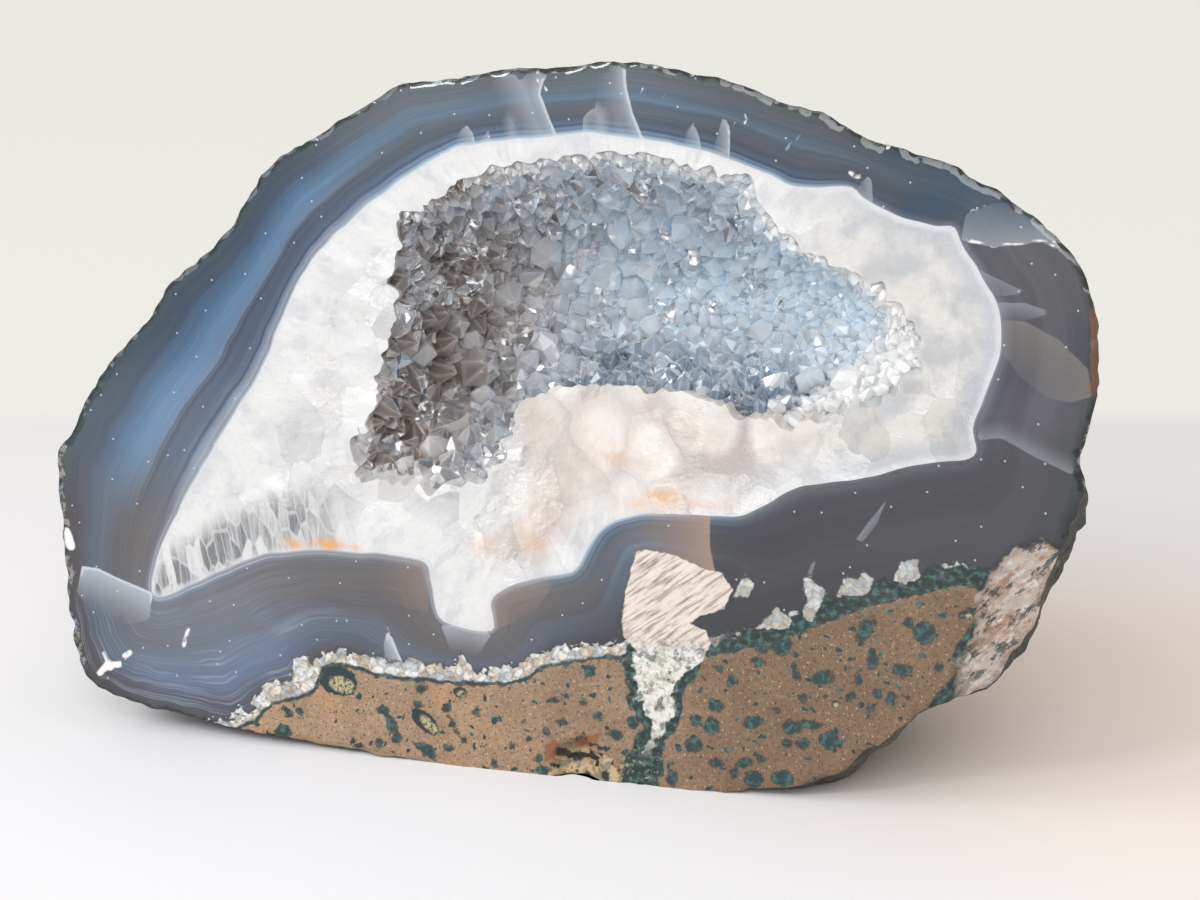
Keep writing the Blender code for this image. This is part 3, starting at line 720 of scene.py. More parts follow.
def rgb(red, green, blue):
    """A colour from its screen numbers, as the linear values that shaders use."""
    parts = [c / 255 for c in (red, green, blue)]
    linear = [p / 12.92 if p <= 0.04045 else ((p + 0.055) / 1.055) ** 2.4 for p in parts]
    return (*linear, 1.0)


class Wire:
    """An output socket of a material's node, with the signs of arithmetic."""

    def __init__(self, finish, socket):
        self.finish = finish
        self.socket = socket

    def __add__(self, other):
        return self.finish.maths("ADD", self, other)

    def __sub__(self, other):
        return self.finish.maths("SUBTRACT", self, other)

    def __rsub__(self, other):
        return self.finish.maths("SUBTRACT", other, self)

    def __mul__(self, other):
        return self.finish.maths("MULTIPLY", self, other)

    def __truediv__(self, other):
        return self.finish.maths("DIVIDE", self, other)

    __radd__ = __add__
    __rmul__ = __mul__


class Finish:
    """A material, and the nodes that give it its look."""

    def __init__(self, name, dimensions="3D"):
        self.dimensions = dimensions
        self.material = bpy.data.materials.new(name)
        self.material.use_nodes = True
        self.tree = self.material.node_tree
        self.shader = self.tree.nodes["Principled BSDF"]

    def node(self, kind, settings=None, sockets=None, out=0):
        """Any node: its settings are set first, then its sockets by name or number."""
        made = self.tree.nodes.new(kind)
        for key, value in (settings or {}).items():
            if key == "stops":
                self.set_stops(made.color_ramp, value)
            else:
                setattr(made, key, value)
        for key, value in (sockets or {}).items():
            self.plug(made.inputs[key], value)
        return Wire(self, made.outputs[out])

    def plug(self, socket, value):
        if isinstance(value, Wire):
            self.tree.links.new(value.socket, socket)
        else:
            socket.default_value = value

    def set_stops(self, ramp, stops):
        while len(ramp.elements) < len(stops):
            ramp.elements.new(0.5)
        for element, (place, *colour) in zip(ramp.elements, stops):
            element.position = place
            element.color = rgb(*colour)

    def maths(self, operation, a, b=0.0):
        return self.node("ShaderNodeMath", {"operation": operation}, {0: a, 1: b})

    def stored(self, name, vector=False):
        """A value or a vector that the mesh holds at its points."""
        return self.node("ShaderNodeAttribute", {"attribute_name": name}, out=1 if vector else 2)

    def step(self, value, low, high):
        """0 below low, 1 above high and smooth between. With low above high it falls."""
        settings = {"interpolation_type": "SMOOTHSTEP"}
        if low > high:
            return 1 - self.step(value, high, low)
        return self.node("ShaderNodeMapRange", settings, {0: value, 1: low, 2: high})

    def mix(self, a, b, share):
        """One colour turning into another."""
        return self.node("ShaderNodeMix", {"data_type": "RGBA"}, {0: share, 6: a, 7: b}, out=2)

    def over(self, colour, *layers):
        """Colours laid over one another, each with its share."""
        for upper, share in layers:
            colour = self.mix(colour, upper, share)
        return colour

    def vectors(self, operation, a, b=(0, 0, 0), out=0):
        """Vector Math, for places and for colours, which a Math node would turn grey."""
        return self.node("ShaderNodeVectorMath", {"operation": operation}, {0: a, 1: b}, out=out)

    def tint(self, colour, value):
        """A colour made lighter or darker by a value."""
        return self.vectors("MULTIPLY", colour, self.vector(value, value, value))

    def through(self, colour, red, green, blue):
        """A colour as it looks through a filter."""
        return self.vectors("MULTIPLY", colour, (red, green, blue))

    def parts(self, vector):
        """The x, y and z of a vector, or the red, green and blue of a colour."""
        split = self.node("ShaderNodeSeparateXYZ", None, {0: vector}).socket.node
        return [Wire(self, part) for part in split.outputs]

    def facets(self, where, size, dimensions=None):
        """Flat faces that each tilt their own way: their relief in mm, their lots, and gaps."""
        centre = self.cells(where, size, out="Position", dimensions=dimensions)
        cell = centre.socket.node
        lots = Wire(self, cell.outputs["Color"])
        across = self.vectors("SUBTRACT", where, centre)
        slope = self.vectors("SUBTRACT", lots, (0.5, 0.5, 0.5))
        relief = self.vectors("DOT_PRODUCT", across, slope, out=1)
        return relief, self.parts(lots)[0], Wire(self, cell.outputs["Distance"])

    def vector(self, x, y, z=0.0):
        return self.node("ShaderNodeCombineXYZ", None, {0: x, 1: y, 2: z})

    def noise(self, where, size, detail=2.0, rough=0.5, dimensions=None):
        """Cloudy noise from 0 to 1, with clouds of the given size in millimetres."""
        settings = {"noise_dimensions": dimensions or self.dimensions}
        sockets = {"Vector": where, "Scale": 1 / size, "Detail": detail, "Roughness": rough}
        return self.node("ShaderNodeTexNoise", settings, sockets)

    def spots(self, where, size, low, high, detail=2.0, rough=0.5):
        """Patches of noise, with soft edges between the levels low and high."""
        return self.step(self.noise(where, size, detail, rough), low, high)

    def cells(self, where, size, feature="F1", out="Distance", dimensions=None):
        """Voronoi cells of the given size in millimetres."""
        settings = {"voronoi_dimensions": dimensions or self.dimensions, "feature": feature}
        sockets = {"Vector": where, "Scale": 1 / size}
        return self.node("ShaderNodeTexVoronoi", settings, sockets, out=out)

    def ramp(self, value, stops):
        """A run of colours. Each stop is its place from 0 to 1 and the colour's numbers."""
        return self.node("ShaderNodeValToRGB", {"stops": stops}, {0: value})

    def bump(self, height, distance=0.001):
        """Small relief: the height is in millimetres."""
        normal = self.node("ShaderNodeBump", None, {"Height": height, "Distance": distance})
        self.plug(self.shader.inputs["Normal"], normal)

    def set(self, **values):
        """Values or wires for the shader's own sockets, with _ for a space."""
        for name, value in values.items():
            self.plug(self.shader.inputs[name.replace("_", " ")], value)

# %% [markdown]
# ## The agate
# The wall of agate has its own run of colours on each side of the stone, from the rind to
# the quartz: steel blue at the left, grey and blue streaks along the top, wavy blue-grey
# below, and smoky brown-grey at the right. Each is a colour ramp read at `layer`, which is
# 0 at the outside and 1 at the quartz, so the bands bend with the stone. A Wave texture
# could make stripes, but its stripes would be straight or round. The face is flat, so its
# noise is read in two dimensions, which renders faster than three.

# %% Four runs of colour through the agate
QUARTZ_IOR = 1.54
face_finish = Finish("polished_agate_and_basalt", dimensions="2D")
f = face_finish
place = f.stored("face", vector=True)
u, v, _ = f.parts(place)
to_rim_wire = f.stored("to_rim")
warp = (f.noise(place, 30, 2) - 0.5) * 0.10 + (f.noise(place, 8, 2) - 0.5) * 0.035
layer_wire = f.stored("layer") + warp * f.step(f.stored("layer"), 1.0, 0.8)

left_bands = f.ramp(layer_wire, [
    (0.0, 66, 76, 82), (0.08, 80, 92, 104), (0.24, 74, 88, 108),
    (0.36, 92, 116, 146), (0.46, 104, 134, 166), (0.55, 118, 142, 172),
    (0.640, 124, 142, 170), (0.654, 94, 98, 112), (0.666, 112, 122, 142),
    (0.680, 88, 92, 106), (0.72, 94, 104, 126), (0.80, 92, 102, 122),
    (0.868, 108, 120, 144), (0.885, 72, 86, 110), (0.91, 132, 140, 162),
    (0.955, 172, 170, 184), (0.975, 150, 148, 160), (1.0, 222, 220, 226),
])
top_bands = f.ramp(layer_wire, [
    (0.0, 72, 76, 76), (0.06, 98, 98, 102), (0.22, 104, 104, 112),
    (0.36, 98, 108, 124), (0.46, 104, 118, 138), (0.54, 94, 102, 118),
    (0.62, 98, 98, 108), (0.76, 86, 90, 104), (0.84, 94, 106, 128),
    (0.875, 76, 86, 108), (0.91, 124, 136, 158), (0.935, 100, 112, 136),
    (0.965, 152, 162, 180), (1.0, 200, 204, 212),
])
low_bands = f.ramp(layer_wire, [
    (0.0, 74, 68, 70), (0.14, 82, 80, 88), (0.30, 94, 104, 124),
    (0.42, 104, 112, 126), (0.52, 98, 100, 110), (0.66, 108, 106, 110),
    (0.84, 112, 110, 114), (0.93, 112, 112, 122), (0.955, 128, 134, 150),
    (0.968, 166, 174, 188), (0.978, 136, 140, 150), (1.0, 206, 206, 208),
])
right_bands = f.ramp(layer_wire, [
    (0.0, 50, 56, 60), (0.10, 74, 78, 86), (0.28, 86, 86, 96),
    (0.48, 96, 96, 106), (0.68, 78, 78, 88), (0.86, 84, 84, 98),
    (0.92, 94, 97, 110), (0.95, 110, 113, 124), (0.97, 108, 111, 122),
    (1.0, 150, 153, 162),
])

# %% Blend them round the stone, and streak them
left_bands = f.through(left_bands, 0.495, 0.57, 0.585)
top_bands = f.through(top_bands, 0.64, 0.75, 0.75)
top_bands = f.tint(top_bands, 1 - f.step(u, 12, 36) * 0.22)
low_bands = f.through(low_bands, 0.555, 0.545, 0.515)
right_bands = f.through(right_bands, 0.64, 0.66, 0.62)
at_top, at_foot = f.step(u + v * 0.35, -18, 16), f.step(v + u * 0.12, 50, 30)
agate = f.over(left_bands, (top_bands, at_top), (low_bands, at_foot))
low_blue = f.step(u, -36, -62) * f.step(u, -94, -74) * f.step(v, 40, 20)
agate = f.mix(agate, f.through(agate, 1.38, 1.60, 1.86), low_blue)
right_bands = f.tint(right_bands, 1.06 - f.step(v, 78, 64) * 0.58)
smoky = f.step(u, 74, 84) * f.step(v, 108, 104) * f.step(v, 88, 96)
steel = f.step(v, 103, 109) * f.step(u, 52, 66) * f.noise(place, 9, 2)
right_bands = f.over(right_bands, (rgb(78, 79, 82), smoky * 0.6), (rgb(36, 64, 84), steel))
at_right = f.maths("MAXIMUM", f.step(u, 42, 66), f.step(u - v, -34, -6))
agate = f.mix(agate, right_bands, at_right)
broad = f.noise(f.vector(layer_wire * 11, u * 0.02, v * 0.02), 1.0, 2, 0.5) - 0.5
thin = f.noise(f.vector(layer_wire * 44, u * 0.03, v * 0.03), 1.0, 2, 0.6) - 0.5
calm = f.noise(place, 16, 2)
agate = f.tint(agate, 1.0 + broad * 0.36 + thin * 0.30 * f.step(calm, 0.35, 0.65))
wavy_zone = f.step(u, -24, -46) * f.step(v, 32, 22) * f.spots(place, 14, 0.36, 0.6)
wave_at = f.stored("layer") + (f.noise(place, 6, 1) - 0.5) * 0.05
wave_streak = f.noise(f.vector(wave_at * 26, u * 0.015, v * 0.015), 1.0, 2, 0.6)
wavy = f.step(wave_streak, 0.50, 0.60) * f.step(wave_streak, 0.70, 0.60) * wavy_zone
agate = f.mix(agate, rgb(128, 138, 154), wavy * 0.42)
hair_at = f.stored("layer") * 62 + f.noise(place, 12, 1)
hairs = f.noise(f.vector(hair_at, u * 0.012, v * 0.012), 1.0, 1)
hair = f.step(hairs, 0.54, 0.59) * f.step(hairs, 0.65, 0.60)
hair = hair * f.spots(place, 18, 0.34, 0.54)
agate = f.mix(agate, f.through(agate, 1.42, 1.42, 1.38), hair * (0.55 - at_right * 0.4))
cloud = f.noise(place, 34, 2)
agate = f.tint(agate, 0.86 + cloud * 0.28)

# %% Slivers, flecks and the broken rim
ripple = (f.noise(place, 3, 2) - 0.5) * 0.5
pale = f.step(f.stored("pale_edge") + ripple * 0.6, -0.1, 0.15) * f.stored("pale_strength")
warm = f.step(f.stored("warm_edge") + ripple * 0.6, -0.1, 0.25) * f.stored("warm_strength")
warm_tone = f.mix(rgb(146, 124, 108), rgb(122, 118, 113), f.step(u, 60, 75))
strong_pale = f.step(f.stored("pale_strength"), 0.62, 0.74)
pale_line = f.step(f.stored("pale_edge") + ripple * 0.4, 0.0, 0.2) * strong_pale
pale_line = pale_line * f.step(f.stored("pale_edge"), 0.75, 0.35)
agate = f.over(
    agate,
    (rgb(160, 167, 174), pale * 0.85),
    (warm_tone, warm * 0.85),
    (rgb(206, 206, 210), pale_line * 0.35),
    (rgb(226, 224, 222), f.step(f.stored("fleck") + ripple, 0.1, -0.25) * 0.85),
    (rgb(176, 190, 208), f.step(f.cells(place, 8.0), 0.032, 0.014) * 0.7),
)
chipped = to_rim_wire + (f.noise(place, 2.0, 3) - 0.5) * 1.6
left_rim = f.step(u, -82, -92) * f.step(v, 82, 70)
pale_zone = f.noise(place, 11, 2) + left_rim * 0.16
pale_chips = f.step(pale_zone, 0.55, 0.62) * f.spots(place, 1.6, 0.46, 0.56, 4, 0.7)
pale_chips = pale_chips * f.step(chipped - left_rim * 1.1, 0.34, 0.10)
chip_colour = f.mix(rgb(150, 146, 134), rgb(132, 150, 160), f.spots(place, 5, 0.5, 0.64, 1))
thick_rim = f.step(u, 88, 94) * f.step(v, 70, 60) * 1.6
agate = f.over(
    agate,
    (rgb(30, 38, 37), f.step(chipped - thick_rim, 1.0, 0.3) * 0.9),
    (chip_colour, pale_chips * 0.6),
)
rust_rim = f.step(u, 96, 98) * f.step(v, 77, 80) * f.step(v, 95, 91)
agate = f.mix(agate, rgb(124, 82, 56), rust_rim * f.step(chipped, 1.7, 1.2) * 0.5)

# %% [markdown]
# ## The basalt, its crust and the vein
# The basalt is brown and fine-grained, with dark green fillings of old gas bubbles. Where
# the agate met it there is a thin crumbly crust, white and beige, over a green skin. The
# larger fillings are the ovals laid out above, and cells with a random size each add the
# small ones: most cells stay empty, as on the real stone. Some have a golden middle.

# %% Basalt with green fillings
crumb = f.noise(place, 1.5, 3, 0.6)
to_basalt_wire = f.stored("to_basalt") + (f.noise(place, 2.2, 3) - 0.5) * 1.3
fine_grain = f.noise(place, 0.45, 4, 0.75)
basalt = f.mix(rgb(112, 88, 68), rgb(150, 124, 100), f.noise(place, 9, 5, 0.65))
sandy = f.spots(place, 12, 0.5, 0.7, 3) * f.step(u, 8, -12)
basalt = f.mix(basalt, rgb(152, 116, 82), sandy * 0.5)
basalt = f.through(basalt, 0.92, 0.94, 0.92)
grit = f.noise(place, 1.1, 4, 0.8)
basalt = f.tint(basalt, 0.06 + fine_grain * 0.84 + grit * 1.02)
# Painted light and shade: the basalt is lighter at the left and darker at the right, where less of the
# window's light falls.
basalt = f.tint(basalt, 1.0 + f.step(u, 10, -18) * 0.22 - f.step(u, 14, 40) * 0.30)
basalt = f.mix(basalt, f.through(basalt, 0.98, 0.92, 0.84), f.step(u, 14, 40))
basalt = f.mix(basalt, rgb(196, 178, 156), f.spots(place, 0.7, 0.66, 0.74) * 0.45)
wobble = f.node("ShaderNodeTexNoise", None, {"Vector": place, "Scale": 0.42, "Detail": 2}, out=1)
bent = f.vectors("ADD", f.vectors("MULTIPLY", wobble, (3.6, 3.0, 0)), place)
small_filling = f.cells(bent, 1.9)
small_lot = f.parts(Wire(f, small_filling.socket.node.outputs["Color"]))[1]
small_filled = f.step(small_filling + small_lot * 0.72, 0.34, 0.28)
ragged = (f.noise(place, 1.4, 3, 0.7) - 0.5) * 1.9
filling_edge = f.stored("filling") + ragged
filled = f.maths("MAXIMUM", f.step(filling_edge, 0.0, 0.25), small_filled)
green_mix = f.mix(rgb(20, 46, 48), rgb(50, 88, 84), f.step(crumb, 0.46, 0.66))
basalt = f.over(
    basalt,
    (rgb(34, 42, 38), f.step(filling_edge, -0.3, 0.0) * 0.8),
    (green_mix, filled),
)
eyes_edge = f.stored("eyes") + ragged * 0.5
speckle = f.spots(place, 0.8, 0.46, 0.60, 4, 0.8)
speckled = f.mix(rgb(164, 154, 118), rgb(44, 62, 54), speckle)
gold_edge = f.stored("gold") + ragged * 0.6
eye_green = f.mix(rgb(20, 36, 35), speckled, f.step(gold_edge, -0.25, 0.35))
basalt = f.over(
    basalt,
    (eye_green, f.step(eyes_edge, -0.05, 0.2)),
    (rgb(40, 34, 30), f.step(f.cells(place, 1.4), 0.13, 0.07) * 0.8),
)

# %% Crust and green skin along the contact
right_part = f.step(u, 22, 40)
lump = f.cells(bent, 1.5, "DISTANCE_TO_EDGE")
lump_colour = f.parts(f.cells(bent, 1.5, out="Color"))[0] * 0.6 + f.noise(place, 2.4, 3, 0.7) * 0.4
crust_colour = f.ramp(lump_colour, [
    (0.0, 226, 225, 220), (0.34, 206, 201, 190), (0.48, 176, 160, 134),
    (0.58, 158, 166, 170), (0.72, 206, 208, 208), (1.0, 232, 231, 227),
])
crust_colour = f.tint(crust_colour, 0.58 + f.step(lump, 0.0, 0.26) * 0.30 + (crumb - 0.5) * 0.9)
crust_colour = f.mix(crust_colour, rgb(134, 138, 136), f.step(u, 26, 42) * 0.45)
crust_edge = to_basalt_wire + (crumb - 0.5) * 2.6 + (lump_colour - 0.5) * 2.4
crust_edge = crust_edge + (f.noise(place, 7, 1) - 0.5) * 2.4
chunk_edge = f.stored("chunk") + (crumb - 0.5) * 1.2
crust = f.maths("MAXIMUM", f.step(crust_edge, -3.0, -2.7), f.step(chunk_edge, 0.1, 0.4))
green = f.mix(rgb(17, 36, 36), rgb(50, 84, 78), f.spots(place, 1.2, 0.48, 0.70, 3))
gaps = f.spots(place, 6.5, 0.42, 0.50)
chunk_share = f.step(chunk_edge, -0.15, 0.15)
crust_share = f.maths("MAXIMUM", crust * (1 - right_part * gaps), chunk_share)
outline = f.step(crust_edge, -3.6, -3.1) * (1 - right_part * gaps)
outline = f.maths("MAXIMUM", outline, f.step(chunk_edge, -0.5, 0.0))
thicker = f.noise(place, 4, 2) * 4.4 + f.step(u, 44, 60) * 1.2
skin_depth = to_basalt_wire + right_part * thicker
green_skin = f.step(skin_depth, -0.6, -0.15) * (1 - chunk_share * f.step(to_basalt_wire, 0.2, -0.6))
ground = f.over(
    agate,
    (rgb(58, 60, 62), outline * 0.7),
    (crust_colour, crust_share),
    (green, green_skin * 0.97),
    (basalt, f.step(to_basalt_wire, 0.25, 0.6)),
)

# %% The rest of the soft stone
vein_depth = f.stored("to_vein") + (f.noise(place, 2.4, 3) - 0.5) * 2.6
vein_core = f.step(vein_depth + (crumb - 0.5) * 2.0, 1.6, 2.3) * f.step(v, 4, 12)
crumbly = f.noise(place, 1.8, 4, 0.7)
vein_white = f.mix(rgb(202, 200, 194), rgb(150, 146, 138), f.step(crumbly, 0.46, 0.62))
dark_crumbs = f.spots(place, 2.6, 0.56, 0.64, 4, 0.7)
vein_white = f.mix(vein_white, rgb(62, 76, 74), dark_crumbs * 0.8)
vein_colour = f.mix(green, vein_white, vein_core)
vein_speck = f.spots(place, 1.0, 0.60, 0.68, 3, 0.7) * f.step(v, 10, 6)
vein_colour = f.mix(vein_colour, rgb(168, 158, 136), vein_speck * 0.8)
ground = f.mix(ground, vein_colour, f.step(vein_depth, -0.2, 0.3))
FIBRE_TILT = math.radians(38)
fibre_along = (u * math.cos(FIBRE_TILT) + v * math.sin(FIBRE_TILT)) * 0.11
fibre_across = v * math.cos(FIBRE_TILT) - u * math.sin(FIBRE_TILT)
fibre = f.noise(f.vector(fibre_along, fibre_across), 0.7, 5, 0.7)
block = f.mix(rgb(204, 195, 186), rgb(142, 124, 111), f.step(fibre, 0.42, 0.68))
block = f.mix(block, vein_white, f.step(v, 30, 25))
block_depth = f.stored("to_block") + (f.noise(place, 1.6, 2) - 0.5) * 0.8
ground = f.mix(ground, block, f.step(block_depth, -0.1, 0.2))
patch_at = f.vector((u + v) * 0.42, (u - v) * 1.1)
patch_noise = f.noise(patch_at, 4.0, 5, 0.7)
patch = f.mix(rgb(178, 164, 152), rgb(150, 120, 98), f.step(patch_noise, 0.46, 0.60))
patch = f.over(
    patch,
    (rgb(206, 200, 194), f.spots(patch_at, 2.6, 0.56, 0.68, 4, 0.7) * 0.8),
    (rgb(52, 58, 58), f.spots(patch_at, 3.4, 0.54, 0.62, 5, 0.75) * 0.9),
)
patch = f.tint(patch, 0.80)
patch = f.mix(patch, rgb(98, 100, 97), f.step(v, 36, 24) * f.step(patch_noise, 0.40, 0.56) * 0.6)
patch_depth = f.stored("to_patch") + (f.noise(place, 3, 3) - 0.5) * 3
ground = f.mix(ground, patch, f.step(patch_depth, -0.3, 0.5))
RUSTY_AT = (6.6, 2.6, 0)
pocket_gap = f.vectors("DISTANCE", f.vector(u * 0.78, v), RUSTY_AT, out=1)
rust = f.mix(rgb(176, 150, 112), rgb(118, 116, 96), f.step(crumb, 0.44, 0.6))
rust = f.over(
    rust,
    (rgb(120, 78, 44), f.step(u * 0.5 - v + f.noise(place, 3, 3) * 8, 3.6, 0.6)),
    (rgb(40, 30, 24), f.spots(place, 2.4, 0.52, 0.60, 3)),
)
rusty = f.step(pocket_gap + (f.noise(place, 3.4, 3) - 0.5) * 9, 5.4, 4.6)
ground = f.mix(ground, rust, rusty)

# %% Gloss and relief
soft_stone = f.maths("MAXIMUM", f.step(to_basalt_wire, -3.4, -2.4) * crust_share, green_skin)
soft_stone = f.maths("MAXIMUM", soft_stone, f.step(vein_depth, -0.2, 0.3))
soft_stone = f.maths("MAXIMUM", soft_stone, f.step(patch_depth, -0.3, 0.5))
f.set(Base_Color=ground, IOR=QUARTZ_IOR)
f.set(Roughness=0.07 + soft_stone * 0.38 + f.step(chipped, 0.6, 0.1) * 0.2)
in_block = f.step(f.stored("to_block"), 0, 0.3)
f.bump((crumb * 0.25 + fine_grain * 0.03) * f.stored("soft") + fibre * in_block * 0.08)

# %% [markdown]
# ## The white quartz
# The layer between the agate and the hollow is milky quartz that grew as columns across it.
# Its fibres start on the agate and run inwards. They fan out from the hollow's middle, so
# their noise is read on a circle of directions, which has no seam. At the lower left they
# stand upright as clear grey columns. A little light goes into the quartz and spreads, which
# a plain white surface can't show, so it has some subsurface scattering. Its crystals are
# cells whose flat tops each tilt their own way, which a bump shows.

# %% Finish of the quartz layer and of the hollow's wall
FANS_FROM = (12, 80, 0)
SCATTER_DEPTH = 0.003
quartz_finish = Finish("milky_quartz", dimensions="2D")
q = quartz_finish
place = q.stored("face", vector=True)
u, v, w = q.parts(place)
inwards = q.stored("to_quartz") * -1
from_middle = q.vectors("SUBTRACT", place, FANS_FROM)
towards = q.vectors("NORMALIZE", from_middle)
radius = q.vectors("LENGTH", from_middle, out=1)
radial = q.vectors("ADD", towards, q.vector(0.0, 0.0, radius * 0.006))
columns = q.noise(radial, 1 / 42, 4, 0.6, "3D")
feathers = q.noise(radial, 1 / 15, 4, 0.62, "3D")
uprights = q.noise(q.vector(u * 0.85 + v * 0.12, v * 0.09), 1.0, 4, 0.65)
milk = q.noise(place, 8, 5, 0.6)
sugar_grain = q.noise(place, 0.9, 3, 0.7)
white = q.mix(rgb(228, 228, 227), rgb(206, 207, 211), q.step(milk, 0.46, 0.66) * 0.7)
white = q.over(
    white,
    (rgb(240, 240, 240), q.step(feathers, 0.52, 0.66) * 0.6),
    (rgb(194, 195, 200), q.step(feathers, 0.42, 0.30) * 0.45),
)

# %% Facets: long ones round the mouth, blunt ones on the ledge
stretched = q.vector(milk * 3, milk * 3, radius * 0.42)
long_at = q.vectors("ADD", q.through(towards, 30, 30, 30), stretched)
long_facets, long_lot, _ = q.facets(long_at, 3.6, "3D")
blunt_at = q.vector(u + milk * 4, v * 0.72 + milk * 3)
blunt_facets, blunt_lot, blunt_gap = q.facets(blunt_at, 7.5)

ledge = q.step(u + (milk - 0.5) * 14, -14, 0) * q.step(v, 84, 70)
right_side = q.step(u, 38, 62)
long_share = q.step(inwards, 3, 8) * (1 - ledge) * (1 - right_side)
near_mouth = q.step(inwards, 6, 15)
white = q.tint(white, 1.0 + (long_lot - 0.5) * long_share * (0.06 + near_mouth * 0.16))
white = q.mix(white, rgb(206, 203, 202), q.step(long_lot, 0.55, 0.9) * long_share * near_mouth * 0.6)

# %% Columns at the lower left, the ledge and the right side
under_tip_line = (u + 79.5) * 0.66 + 33 - v
column_zone = q.step(under_tip_line, -4.5, 1.5) * q.step(u, -34, -52)
column_at = q.vector(u + v * 0.22 + milk * 0.8, v * 0.34)
column_lot = q.parts(q.cells(column_at, 1.7, out="Color"))[0]
column_seam = q.cells(column_at, 1.7, "DISTANCE_TO_EDGE")
column_grey = q.ramp(column_lot * 0.6 + uprights * 0.5, [
    (0.26, 206, 206, 205), (0.44, 158, 160, 162), (0.54, 104, 107, 111),
    (0.64, 158, 160, 163), (0.80, 220, 220, 219),
])
column_grey = q.mix(column_grey, rgb(226, 226, 226), q.step(column_seam, 0.12, 0.02) * 0.5)
white = q.mix(white, column_grey, column_zone * q.step(inwards, 16, 5) * 0.92)
ledge_tone = q.mix(rgb(236, 230, 225), rgb(222, 213, 207), q.step(milk, 0.42, 0.66))
ledge_tone = q.tint(ledge_tone, 0.94 + blunt_lot * 0.10)
# Painted shade in the gaps between the ledge's blunt crystals, stronger at the right.
gap_shade_share = q.step(blunt_gap, 0.40, 0.72) * (0.4 + q.step(u, 10, 40) * 0.6)
ledge_tone = q.mix(ledge_tone, rgb(192, 184, 181), gap_shade_share)
white = q.mix(white, ledge_tone, ledge * q.step(inwards, 2, 9))
right_tone = q.mix(rgb(228, 226, 222), rgb(198, 200, 202), q.step(milk, 0.40, 0.66))
right_tone = q.tint(right_tone, 0.95 + q.noise(place, 2.6, 4, 0.7) * 0.14)
right_tone = q.mix(right_tone, rgb(190, 198, 206), q.step(inwards + (milk - 0.5) * 5, 5.5, 1.0) * 0.65)
white = q.mix(white, right_tone, right_side * q.step(inwards, 0.2, 1.5))
# Painted shade: the right side is made a little darker, where less of the window's light falls.
white = q.tint(white, 0.65 + columns * 0.08 + sugar_grain * 0.10 - right_side * 0.06)
white = q.mix(white, rgb(186, 188, 195), q.step(inwards, 1.2, 0.0) * 0.6)
stain = q.stored("stain") * (0.4 + q.step(milk, 0.4, 0.6) * 0.6)
white = q.mix(white, rgb(204, 150, 96), stain * 0.9)

# %% The hollow's wall behind the points, and the quartz's gloss
deep = q.mix(rgb(196, 186, 180), rgb(206, 224, 238), q.step(u, -24, 10))
white = q.mix(white, deep, q.step(w, 1.5, 9))
q.set(Base_Color=white, IOR=QUARTZ_IOR, Subsurface_Weight=0.3)
q.set(Subsurface_Scale=SCATTER_DEPTH, Subsurface_Radius=(1.0, 0.95, 0.9))
q.set(Roughness=0.14 + milk * 0.25)
relief = blunt_facets * ledge * 0.6 + long_facets * long_share * (0.4 + near_mouth * 0.7)
relief = relief + column_lot * column_zone * 0.45
q.bump(relief + feathers * 0.12 + sugar_grain * 0.05 + milk * 0.2)

# %% [markdown]
# ## The rind
# The back is matt, dark and mixed: green clay, brown iron stain and grey agate that shows
# through where it is rubbed. Three noises at different sizes choose between the three.

# %% Finish of the rind
rind_finish = Finish("weathered_rind")
r = rind_finish
place = r.stored("face", vector=True)
broad = r.noise(place, 22, 4, 0.6)
small_marks = r.noise(place, 3.2, 5, 0.65)
rind = r.mix(rgb(62, 68, 64), rgb(84, 78, 68), r.step(broad, 0.40, 0.62))
rind = r.over(
    rind,
    (rgb(112, 112, 108), r.step(small_marks, 0.52, 0.72) * 0.7),
    (rgb(36, 46, 44), r.spots(place, 6, 0.52, 0.64, 4) * 0.7),
    (rgb(150, 140, 124), r.spots(place, 1.6, 0.66, 0.72, 4) * 0.7),
)
rind = r.tint(rind, 0.6 + r.noise(place, 0.7, 3) * 0.8)
r.set(Base_Color=rind, Roughness=0.62 + small_marks * 0.3)
r.bump(small_marks * 0.9 + r.noise(place, 0.8, 3) * 0.3)

for finish in (face_finish, quartz_finish, rind_finish):
    stone_mesh.materials.append(finish.material)
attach(stone, "root")
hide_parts("agate_stone")

# %% [markdown]
# ## The quartz points
# Each point is a six-sided prism with a blunt six-sided tip in two steps, because the small
# faces of real quartz round the tip off. Some 1,500 stand on the hollow's wall, tilted a
# little each way, and those that reach the face's plane are cut flat by it, as the saw did.
# They are one joined mesh, made with whole arrays at once, because a loop over single
# crystals would be slow.

# %% The wall as a grid of places with normals
inner = [hollow_end + (walls[-1] - hollow_end) * share for share in (0.55, 0.06)]
walls = np.concatenate([walls, inner])
normals = np.cross(np.gradient(walls, axis=0), np.roll(walls, -1, 1) - np.roll(walls, 1, 1))
normals /= np.linalg.norm(normals, axis=2, keepdims=True) + 1e-9
to_centre = np.array([10.0, 89.0, 14.0]) - walls
normals *= np.sign((normals * to_centre).sum(axis=2).mean())
along_ring = np.roll(walls[:-1], -1, 1) - walls[:-1]
area = np.linalg.norm(np.cross(along_ring, walls[1:] - walls[:-1]), axis=2)
shares = np.cumsum(area.ravel()) / area.sum()
print("area of the wall, square mm:", round(float(area.sum())))

